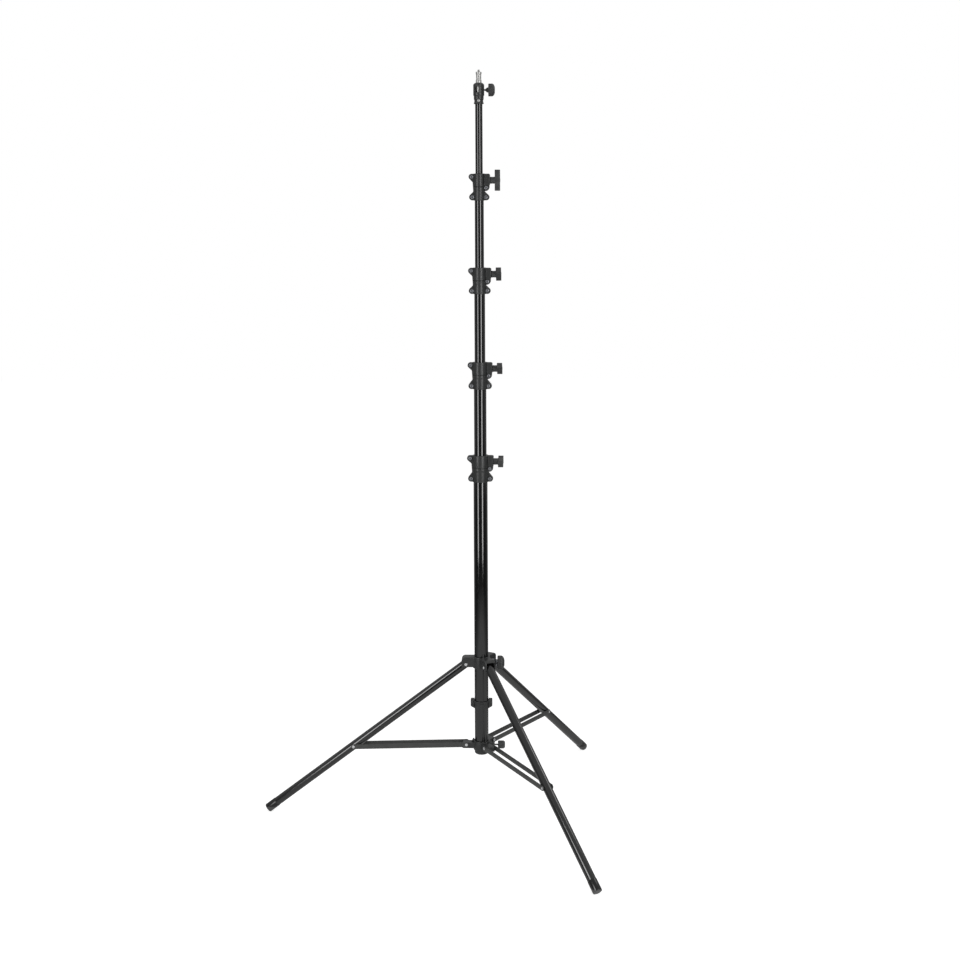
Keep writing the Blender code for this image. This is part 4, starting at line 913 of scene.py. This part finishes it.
def head_casting():
    """The head: a bevelled socket with a window on its spigot, a neck, a rivet groove and a flange."""
    bottom, top = levels("spigot_head")
    radius, bore, riser = half_width("spigot_head"), SPIGOT_RADIUS + FIT, tube_radius(4) + FIT
    web = bottom + HEAD_WEB
    profile = filleted(
        (0.0, web + HEAD_WEB_THICKNESS, 0),
        (bore, web + HEAD_WEB_THICKNESS, 0),
        (bore, top, 0.0006),
        (radius - HEAD_BEVEL, top, 0.0012),
        (radius, top - HEAD_BEVEL, 0.0012),
        (radius, bottom + HEAD_NECK_TOP + 0.0006, 0.0006),
        (HEAD_NECK_RADIUS, bottom + HEAD_NECK_TOP - 0.0006, 0.0004),
        (HEAD_NECK_RADIUS, bottom + HEAD_GROOVE_TOP + 0.0012, 0.0012),
        (HEAD_GROOVE_RADIUS, bottom + HEAD_GROOVE_TOP - 0.0014, 0.0012),
        (HEAD_GROOVE_RADIUS, bottom + HEAD_FLANGE_HEIGHT + 0.0008, 0.0008),
        (HEAD_FLANGE_RADIUS, bottom + HEAD_FLANGE_HEIGHT * 0.7, 0.0006),
        (HEAD_FLANGE_RADIUS, bottom + 0.0008, 0.0006),
        (HEAD_FLANGE_RADIUS - 0.0012, bottom, 0.0004),
        (riser, bottom, 0),
        (riser, web, 0),
        (0.0, web, 0),
    )
    shells = [turned(profile, COLUMN, UPRIGHT)]
    casting = piece("spigot_head_cast", "riser_4", "cast_alloy", shells, ["spigot_head"])
    half, rise = WINDOW_WIDTH / 2, (WINDOW_HEIGHT - WINDOW_WIDTH) / 2
    middle = top - WINDOW_DROP
    upper = arc(WINDOW_OFFSET, middle + rise, half, 0, 180)
    oval = filleted(*upper, *arc(WINDOW_OFFSET, middle - rise, half, 180, 360))
    through = slab(oval, 0.0, radius * 2, COLUMN, FACING_FRONT, 0.0)
    cut(casting, piece("window", "riser_4", "cast_alloy", [through]))
    groove = np.array((0.0, -HEAD_GROOVE_RADIUS + FIT, bottom + HEAD_RIVET_HEIGHT))
    heads = [
        domed_head(COLUMN + groove * (1, side, 1), FACING_FRONT * (1, 1, side), HEAD_RIVET_RADIUS)
        for side in (1, -1)
    ]
    grip = block(0.0, HEAD_RIVET_SHANK, -HEAD_GROOVE_RADIUS, HEAD_GROOVE_RADIUS)
    shank = turned(grip, COLUMN + groove * (0, 0, 1), FACING_FRONT, SMALL_AROUND)
    piece("head_rivet_set", "riser_4", "nickel", [*heads, shank], ["head_rivet"])


def spigot_pin():
    """The reversible spigot: a screw stud at each end, and a waist between two cones."""
    foot, tip = levels("spigot")
    shoulder, seat = tip - STUD_LENGTH, foot + LOWER_STUD_LENGTH
    band = shoulder - SPIGOT_BAND
    waist_foot = band - SPIGOT_CONE - SPIGOT_WAIST_LENGTH
    profile = filleted(
        (0.0, shoulder, 0),
        (SPIGOT_RADIUS, shoulder, 0.0009),
        (SPIGOT_RADIUS, band, 0.0004),
        (SPIGOT_WAIST_RADIUS, band - SPIGOT_CONE, 0.0008),
        (SPIGOT_WAIST_RADIUS, waist_foot, 0.0008),
        (SPIGOT_RADIUS, waist_foot - SPIGOT_CONE, 0.0004),
        (SPIGOT_RADIUS, seat, 0.0008),
        (0.0, seat, 0),
    )
    shells = [
        turned(profile, COLUMN, UPRIGHT),
        threaded(STUD_RADIUS, shoulder - 0.001, tip, COLUMN, UPRIGHT, STUD_PITCH),
        threaded(LOWER_STUD_RADIUS, foot, seat + 0.001, COLUMN, UPRIGHT, LOWER_STUD_PITCH),
    ]
    piece("spigot_turned", "spigot", "nickel", shells, ["spigot"])


def head_knob():
    """The head's knob: a coned hub, and a six-lobed head with a flat back and a domed face."""
    origin = joint_place("head_knob_turn")
    body = grip_profile(HEAD_HUB_RADIUS, HEAD_KNOB_RADIUS, HEAD_HUB_TO, HEAD_KNOB_TO, 0.005, 0.0014)
    hub = filleted(
        (0.0, HEAD_HUB_FROM, 0),
        (HEAD_SCREW_RADIUS, HEAD_HUB_FROM, 0),
        (HEAD_HUB_RADIUS, HEAD_HUB_FROM + 0.0048, 0.0012),
        (HEAD_HUB_RADIUS, HEAD_HUB_TO, 0),
    )
    lobes = (HEAD_KNOB_LOBES, HEAD_KNOB_LOBE_DEPTH, HEAD_HUB_RADIUS)
    shells = [fluted(np.concatenate((hub[:-1], body)), *lobes, origin, ALONG_X)]
    piece("spigot_knob_moulded", "head_knob", "moulded_plastic", shells, ["spigot_knob"])
    ends = (SPIGOT_RADIUS + FIT, HEAD_HUB_FROM + 0.003)
    screw = threaded(HEAD_SCREW_RADIUS, *ends, origin, ALONG_X, FINE_PITCH)
    piece("spigot_knob_screw", "head_knob", "zinc_plate", [screw])


def leg_collar():
    """The sliding collar: a barrel, a hooded lug for each leg, and a boss for the clamp screw."""
    origin = COLUMN + leg_pivot(1) * UPWARDS
    bore, barrel = tube_radius(0) + RUNNING_FIT, tube_radius(0) + LEG_COLLAR_WALL
    ring = filleted(
        (barrel, LEG_COLLAR_TOP, 0.0018),
        (barrel, LEG_COLLAR_BOTTOM, 0.0018),
        (bore, LEG_COLLAR_BOTTOM, 0.0006),
        (bore, LEG_COLLAR_TOP, 0.0006),
    )
    shells = [turned(ring, origin, UPRIGHT, closed=True)]
    half = LEG_RADIUS + LEG_SIDE_GAP
    outside = half + LUG_CHEEK
    cheek_inner, roof_inner = math.sqrt(barrel**2 - outside**2) - SUNK, bore + SUNK
    cheek = block(cheek_inner, LUG_REACH, LUG_BOTTOM, LUG_TOP, 0.0036, LUG_CORNER)
    # The roof's underside is a hollow in which the leg's end swings
    roof = filleted(
        (roof_inner, LUG_BOTTOM, 0),
        (LEG_PIVOT_RADIUS - LUG_SWING, LUG_BOTTOM, 0),
        *arc(LEG_PIVOT_RADIUS, 0, LUG_SWING, 180, 52),
        *arc(LUG_REACH - LUG_CORNER, LUG_TOP - LUG_CORNER, LUG_CORNER, 26, 90),
        (roof_inner, LUG_TOP, 0),
    )
    for number in LEG_NUMBERS:
        axes = upright_from(leg_azimuth(number))
        shells.append(slab(roof, -half - ROOF_SUNK, half + ROOF_SUNK, origin, axes, 0.0))
        shells.append(slab(cheek, half, outside, origin, axes, 0.0, 0.0028))
        shells.append(slab(cheek, -outside, -half, origin, axes, 0.0028, 0.0))
    knob = joint_place("leg_slider_knob_turn")
    boss = block(0.0, CLAMP_BOSS_RADIUS, barrel - CLAMP_BOSS_SUNK, CLAMP_BOSS_REACH, 0.0, 0.0015)
    shells.append(turned(boss, knob, ALONG_X))
    # A round seat stands on the clamp boss for the screw that holds its liner
    seat = filleted(
        (0.0, 0.0, 0),
        (LINER_SEAT_FOOT, 0.0, 0),
        (LINER_SEAT_TOP, LINER_SEAT_HEIGHT, 0.0012),
        (LINER_SOCKET_RADIUS, LINER_SEAT_HEIGHT, 0),
        (LINER_SOCKET_RADIUS, LINER_SOCKET_FLOOR, 0),
        (0.0, LINER_SOCKET_FLOOR, 0),
    )
    seat_place = knob + (LINER_SEAT_OUT, 0.0, 0.0)
    shells.append(turned(seat, seat_place, UPRIGHT, SMALL_AROUND))
    piece("leg_collar_cast", "leg_slider", "cast_alloy", shells, ["leg_collar"])
    place = seat_place + UPWARDS * LINER_SCREW_LEVEL
    screw = domed_head(place, UPRIGHT, LINER_SCREW_RADIUS, LINER_SCREW_HEIGHT)
    piece("leg_collar_liner_screw", "leg_slider", "zinc_plate", [screw])


def leg_collar_knob():
    """The leg collar's knob: ten shallow flutes, a domed face, and a plated flange and screw behind it."""
    origin = joint_place("leg_slider_knob_turn")
    profile = grip_profile(0.0, LEG_KNOB_RADIUS, LEG_KNOB_FROM, LEG_KNOB_TO, 0.006, 0.002)
    face = LEG_KNOB_TO + LEG_KNOB_CAP_PROUD
    cap = block(0.0, LEG_KNOB_CAP_RADIUS, LEG_KNOB_TO - 0.001, face, 0.0, LEG_KNOB_CAP_PROUD)
    flutes = (LEG_KNOB_FLUTES, LEG_KNOB_FLUTE_DEPTH, LEG_KNOB_RADIUS * 0.55)
    shells = [
        fluted(profile, *flutes, origin, ALONG_X),
        turned(cap, origin, ALONG_X, SMALL_AROUND),
    ]
    piece("leg_collar_knob_moulded", "leg_slider_knob", "moulded_plastic", shells, ["leg_collar_knob"])
    back = LEG_KNOB_FROM - LEG_HUB_LENGTH
    flange = block(0.0, LEG_HUB_RADIUS, back, LEG_KNOB_FROM + 0.0005, 0.0008)
    ends = (tube_radius(0) + RUNNING_FIT, back + 0.001)
    metal = [
        turned(flange, origin, ALONG_X, SMALL_AROUND),
        threaded(LEG_KNOB_SCREW_RADIUS, *ends, origin, ALONG_X),
    ]
    piece("leg_collar_knob_screw", "leg_slider_knob", "zinc_plate", metal)


def bottom_collar():
    """The collar that closes the base tube: a barrel over a cup, with a tongue and a fin for each stay."""
    origin = COLUMN + stay_pivot(1) * UPWARDS
    tube_foot, floor = (levels(node)[0] - origin[2] for node in ("base_tube", "bottom_collar"))
    bore, barrel, cup = tube_radius(0) + FIT, tube_radius(0) + BOTTOM_COLLAR_WALL, tube_radius(0) + CUP_WALL
    shape = filleted(
        (barrel, BOTTOM_COLLAR_TOP, 0.0014),
        (barrel, BARREL_BOTTOM + 0.0006, 0.0016),
        (cup, BARREL_BOTTOM - 0.0012, 0.0008),
        (cup, floor, CUP_ROUND),
        (DRAIN_RADIUS, floor, 0.0006),
        (DRAIN_RADIUS, tube_foot - FIT, 0),
        (bore, tube_foot - FIT, 0),
        (bore, BOTTOM_COLLAR_TOP, 0.0006),
    )
    shells = [turned(shape, origin, UPRIGHT, closed=True)]
    half = STAY_HALF_GAP - RUNNING_FIT
    reach = STAY_INNER_RADIUS + TONGUE_END
    # A tongue is a core that reaches the bore and a cheek on each side: from, to, inner end and two edges
    core = TONGUE_CORE_HALF
    slices = (
        (-core, core, bore + 0.0015, 0.0, 0.0),
        (core, half, TONGUE_CHEEK_FROM, 0.0, TONGUE_EDGE),
        (-half, -core, TONGUE_CHEEK_FROM, TONGUE_EDGE, 0.0),
    )
    fin = filleted(
        (barrel - SUNK, 0.0, 0),
        (FIN_REACH, TONGUE_TOP - CUP_WALL, 0),
        (barrel + 0.0012, FIN_TOP, 0.0008),
        (barrel - SUNK, FIN_TOP, 0),
    )
    for number in LEG_NUMBERS:
        axes = upright_from(leg_azimuth(number))
        for start, end, inner, low_edge, high_edge in slices:
            tongue = block(inner, reach, TONGUE_BOTTOM, TONGUE_TOP, TONGUE_CORNER, TONGUE_CORNER)
            shells.append(slab(tongue, start, end, origin, axes, low_edge, high_edge))
        shells.append(slab(fin, -FIN_HALF, FIN_HALF, origin, axes, 0.0006))
    knob = joint_place("base_knob_turn")
    hole = BOTTOM_SCREW_RADIUS + FIT
    boss = filleted(
        (hole, barrel - BOTTOM_BOSS_SUNK, 0),
        (BOTTOM_BOSS_RADIUS, barrel - BOTTOM_BOSS_SUNK, 0),
        (BOTTOM_BOSS_RADIUS, BOTTOM_BOSS_REACH, 0.0014),
        (hole, BOTTOM_BOSS_REACH, 0.0004),
    )
    shells.append(turned(boss, knob, ALONG_X, SMALL_AROUND, closed=True))
    piece("bottom_collar_cast", "base", "cast_alloy", shells, ["bottom_collar"])


def bottom_collar_knob():
    """The bottom collar's knob: a round thumb knob with fine flutes, on a blackened screw."""
    origin = joint_place("base_knob_turn")
    profile = block(0.0, BOTTOM_KNOB_RADIUS, BOTTOM_KNOB_FROM, BOTTOM_KNOB_TO, 0.003, 0.006)
    flutes = (BOTTOM_KNOB_FLUTES, BOTTOM_KNOB_FLUTE_DEPTH, BOTTOM_KNOB_RADIUS * 0.75)
    shells = [fluted(profile, *flutes, origin, ALONG_X)]
    piece("bottom_collar_knob_moulded", "base_knob", "moulded_plastic", shells, ["bottom_collar_knob"])
    start = tube_radius(0) + BOTTOM_COLLAR_WALL + FIT
    screw = threaded(BOTTOM_SCREW_RADIUS, start, BOTTOM_KNOB_FROM + 0.001, origin, ALONG_X, FINE_PITCH)
    piece("bottom_collar_knob_screw", "base_knob", "painted_steel", [screw])


def stop_ring():
    """The ring that stops the leg collar: a band over a thin sleeve, with a ribbed ear on each side."""
    _, ear_top = levels("stop_ring")
    top = ear_top - RING_EAR_RISE
    bottom, band_foot = top - RING_HEIGHT, top - RING_BAND_HEIGHT
    bore, sleeve = tube_radius(0) + FIT, tube_radius(0) + RING_SLEEVE_WALL
    profile = filleted(
        (RING_BAND_RADIUS, top, 0.001),
        (RING_BAND_RADIUS, band_foot, 0.001),
        (sleeve, band_foot - RING_SLEEVE_WALL, 0.001),
        (sleeve, bottom, 0.0005),
        (bore, bottom, 0.0003),
        (bore, top, 0.0005),
    )
    shells = [turned(profile, COLUMN, UPRIGHT, closed=True)]
    ear_foot, near = ear_top - RING_EAR_HEIGHT, bore + 0.0004
    rib_near, rib_far = RING_EAR_REACH - RING_RIB_LENGTH, RING_EAR_REACH + RING_RIB_PROUD
    half = RING_EAR_HALF + RING_RIB_DEEP
    screws = []
    for side in (-1, 1):
        ear = filleted(
            (side * near, ear_foot - RING_WEB_DROP, 0),
            (side * RING_EAR_REACH, ear_foot, 0.002),
            (side * RING_EAR_REACH, ear_top, 0.0022),
            (side * near, ear_top, 0),
        )
        shells.append(slab(ear, -RING_EAR_HALF, RING_EAR_HALF, COLUMN, FACING_FRONT, 0.0011))
        for step in range(RING_RIBS):
            level = ear_top - RING_RIB_FROM_TOP - step * RING_RIB_STEP
            low, high = level - RING_RIB_HALF, level + RING_RIB_HALF
            rib = block(side * rib_near, side * rib_far, low, high, 0.0005, 0.0005)
            shells.append(slab(rib, -half, half, COLUMN, FACING_FRONT, 0.0004))
        place = COLUMN + (side * RING_SCREW_OUT, -RING_EAR_HALF, top - RING_BAND_HEIGHT / 2)
        screws += hex_head(place, FACING_FRONT, RING_SCREW_FLATS, RING_SCREW_HEAD)
    piece("stop_ring_cast", "base", "cast_alloy", shells, ["stop_ring"])
    piece("stop_ring_screws", "base", "painted_steel", screws)


def legs():
    """The legs: drawn tubes, vinyl caps worn flat by the floor, and a rivet through each lug."""
    for number in LEG_NUMBERS:
        pivot = leg_pivot(number)
        side, down = leg_ways(number)
        axes = np.array((side, np.cross(down, side), down))
        shell = tube_shell(LEG_RADIUS, -LEG_ABOVE_PIVOT, LEG_LENGTH - CAP_END - FIT, pivot, axes)
        piece(f"leg_{number}_tube_drawn", f"leg_{number}", "anodised_tube", [shell], [f"leg_{number}_tube"])
        sleeve = LEG_LENGTH - CAP_LENGTH
        cap = filleted(
            (0.0, LEG_LENGTH, 0),
            (CAP_RADIUS, LEG_LENGTH, 0.0016),
            (CAP_RADIUS, sleeve, 0.0005),
            (LEG_RADIUS + FIT, sleeve, 0),
            (LEG_RADIUS + FIT, LEG_LENGTH - CAP_END, 0),
            (0.0, LEG_LENGTH - CAP_END, 0),
        )
        points, quads, ends = turned(cap, pivot, axes)
        # The floor has worn the rim flat
        points[:, 2] = np.maximum(points[:, 2], 0.0)
        foot = f"foot_{number}_cap"
        piece(f"{foot}_moulded", f"leg_{number}", "rubber", [(points, quads, ends)], [foot])
        half = LEG_RADIUS + LEG_SIDE_GAP + LUG_CHEEK
        rivet = f"leg_{number}_pivot_rivet"
        piece(f"{rivet}_set", "leg_slider", "rivet", through_rivet(pivot, number, half), [rivet])


def through_rivet(centre, number, half):
    """A rivet that lies across a leg's radius, with a head at half its length each way."""
    out, up, side = upright_from(leg_azimuth(number))
    right, left = np.array((out, up, side)), np.array((out, -up, -side))
    shank = block(0.0, RIVET_SHANK_RADIUS, -half, half)
    return [
        domed_head(centre + side * half, right),
        domed_head(centre - side * half, left),
        turned(shank, centre, right, SMALL_AROUND // 2),
    ]


def stays():
    """The stays: two flat bars each, with a rivet through the collar's tongue and a head on each bar."""
    for number in LEG_NUMBERS:
        side, down = leg_ways(number)
        inner = stay_pivot(number)
        span = leg_pivot(number) + down * STAY_ALONG_LEG - inner
        length = float(np.linalg.norm(span))
        along = span / length
        across = np.cross(side, along)
        axes = np.array((along, across, side))
        r = STAY_HALF_HEIGHT
        bar = filleted(*arc(0, 0, r, 90, 270), *arc(length, 0, r, -90, 90))
        outside = STAY_HALF_GAP + STAY_THICKNESS
        for sign, label in ((-1, "right"), (1, "left")):
            node = f"stay_{number}_{label}_bar"
            low, high = sorted((sign * STAY_HALF_GAP, sign * outside))
            shell = slab(bar, low, high, inner, axes, 0.0006)
            piece(f"{node}_pressed", f"stay_{number}", "painted_steel", [shell], [node])
            turn = axes if sign > 0 else np.array((along, -across, -side))
            head = domed_head(inner + span + side * sign * outside, turn)
            piece(f"{node}_rivet", f"stay_{number}", "rivet", [head])
        rivet = f"stay_{number}_inner_rivet"
        piece(f"{rivet}_set", "base", "rivet", through_rivet(inner, number, outside + FIT), [rivet])


def paper_floor():
    """A white paper floor that keeps the stand's shadow. Gloss sees its pool of light and its pale back."""
    reach = FLOOR_REACH
    corners = [(-reach, -reach, 0), (reach, -reach, 0), (reach, reach, 0), (-reach, reach, 0)]
    mesh = bpy.data.meshes.new("floor")
    mesh.from_pydata(corners, [], [(0, 1, 2, 3)])
    in_scene("floor", mesh)
    material, tree, shader, place = new_material("white_paper", Roughness=0.9, Specular_IOR_Level=0.0)
    shader.inputs["Base Color"].default_value = linear(PAPER)
    path = add(tree, "ShaderNodeLightPath").outputs
    times = {"operation": "MULTIPLY"}
    paper = add(tree, "ShaderNodeMath", times, _0=path["Is Camera Ray"], _1=FLOOR_WHITE)
    white = add(tree, "ShaderNodeEmission", Strength=paper.outputs[0])
    seen = add(tree, "ShaderNodeAddShader", _0=shader.outputs[0], _1=white.outputs[0])
    middle = (-COLUMN_X - POOL_CENTRE[0], -POOL_CENTRE[1], 0.0)
    centred = add(tree, "ShaderNodeMapping", Vector=place, Location=middle)
    distance = add(tree, "ShaderNodeVectorMath", {"operation": "LENGTH"}, _0=centred.outputs[0])
    share = add(tree, "ShaderNodeMapRange", Value=distance.outputs["Value"], **carry(0.0, POOL_REACH))
    pool = add(tree, "ShaderNodeValToRGB", Fac=share.outputs["Result"])
    stops = pool.color_ramp.elements
    for position, level in POOL_STOPS:
        stops.new(position).color = (level, level, level, 1)
    stops.remove(stops[0])
    stops.remove(stops[-1])
    back = add(tree, "ShaderNodeSeparateXYZ", Vector=place).outputs["Y"]
    behind = add(tree, "ShaderNodeMapRange", Value=back, **carry(*FLOOR_PALES, 0.0, ROOM_BACK))
    level = add(tree, "ShaderNodeMath", {"operation": "MAXIMUM"}, _0=pool.outputs[0], _1=behind.outputs[0])
    dim = add(tree, "ShaderNodeEmission", Strength=level.outputs[0]).outputs[0]
    both = add(tree, "ShaderNodeMixShader", _0=path["Is Glossy Ray"], _1=seen.outputs[0], _2=dim)
    tree.links.new(both.outputs[0], tree.nodes["Material Output"].inputs["Surface"])
    mesh.materials.append(material)


def studio():
    """The room and the lamps.

    The camera sees white. Gloss sees a room that is dark in front and pale behind and overhead, and other
    light sees one soft level. A strip lamp stands on each side in front, and a high one on the right.
    """
    world = bpy.data.worlds.new("studio")
    bpy.context.scene.world = world
    world.use_nodes = True
    tree = world.node_tree
    path = add(tree, "ShaderNodeLightPath").outputs
    place = add(tree, "ShaderNodeTexCoord").outputs["Generated"]
    way = add(tree, "ShaderNodeSeparateXYZ", Vector=place).outputs
    backdrop = add(tree, "ShaderNodeMapRange", Value=way["Y"], **carry(*BACK_PALES, ROOM_DARK, ROOM_BACK))
    smooth = {"interpolation_type": "SMOOTHSTEP"}
    ceiling = add(tree, "ShaderNodeMapRange", smooth, Value=way["Z"], **carry(*TOP_PALES, 0.0, ROOM_TOP))
    room = add(tree, "ShaderNodeMath", _0=backdrop.outputs[0], _1=ceiling.outputs[0]).outputs[0]
    either = {"operation": "MAXIMUM"}
    gloss, glass = path["Is Glossy Ray"], path["Is Transmission Ray"]
    shiny = add(tree, "ShaderNodeMath", either, _0=gloss, _1=glass).outputs[0]
    reflected = add(tree, "ShaderNodeMix", _0=shiny, _2=ROOM_SOFT, _3=room).outputs[0]
    white = add(tree, "ShaderNodeMix", _0=path["Is Camera Ray"], _2=reflected, _3=1.0)
    tree.links.new(white.outputs[0], tree.nodes["Background"].inputs["Strength"])
    tree.nodes["Background"].inputs["Color"].default_value = (1, 1, 1, 1)
    for name, azimuth, distance, width, low, high, radiance in LAMPS:
        lamp = bpy.data.lights.new(name, "AREA")
        lamp.shape = "RECTANGLE"
        lamp.size, lamp.size_y = width, high - low
        lamp.energy = radiance * math.pi * width * (high - low)
        angle = math.radians(azimuth) + CAMERA_AZIMUTH
        back = np.array((math.sin(angle), -math.cos(angle), 0.0))
        axes = Matrix(np.stack((np.cross(UPWARDS, back), UPWARDS, back), 1).tolist())
        place = COLUMN + back * distance + UPWARDS * (low + high) / 2
        in_scene(name, lamp).matrix_world = Matrix.Translation(place) @ axes.to_4x4()


def photograph_camera():
    """The photograph's camera: its place, and its axes from its yaw, pitch and roll."""
    yaw = CAMERA_YAW - CAMERA_AZIMUTH
    ahead = np.array((math.sin(yaw), math.cos(yaw), 0.0))
    forward = ahead * math.cos(CAMERA_PITCH) - UPWARDS * math.sin(CAMERA_PITCH)
    level = np.array((math.cos(yaw), -math.sin(yaw), 0.0))
    up = np.cross(level, forward)
    c, s = math.cos(CAMERA_ROLL), math.sin(CAMERA_ROLL)
    axes = Matrix(np.stack((level * c + up * s, up * c - level * s, -forward), 1).tolist())
    place = (
        COLUMN_X + CAMERA_DISTANCE * math.sin(CAMERA_AZIMUTH),
        -CAMERA_DISTANCE * math.cos(CAMERA_AZIMUTH),
        CAMERA_HEIGHT,
    )
    lens = bpy.data.cameras.new("camera")
    lens.lens = FOCAL_MM
    lens.sensor_width = SENSOR_MM
    camera = in_scene("camera", lens)
    camera.matrix_world = Matrix.Translation(place) @ axes.to_4x4()
    bpy.context.scene.camera = camera


for node, obj in frame["nodes"].items():
    slot = next(part["material_slot"] for part in frame["record"]["subparts"] if part["node"] == node)
    obj.data.materials.clear()
    obj.data.materials.append(FINISHES[slot])
photograph_camera()
paper_floor()
studio()
for dress in (
    column_tubes,
    collar_halves,
    t_knobs,
    head_casting,
    spigot_pin,
    head_knob,
    leg_collar,
    leg_collar_knob,
    bottom_collar,
    bottom_collar_knob,
    stop_ring,
    legs,
    stays,
):
    dress()
bpy.context.scene.view_settings.view_transform = "Standard"
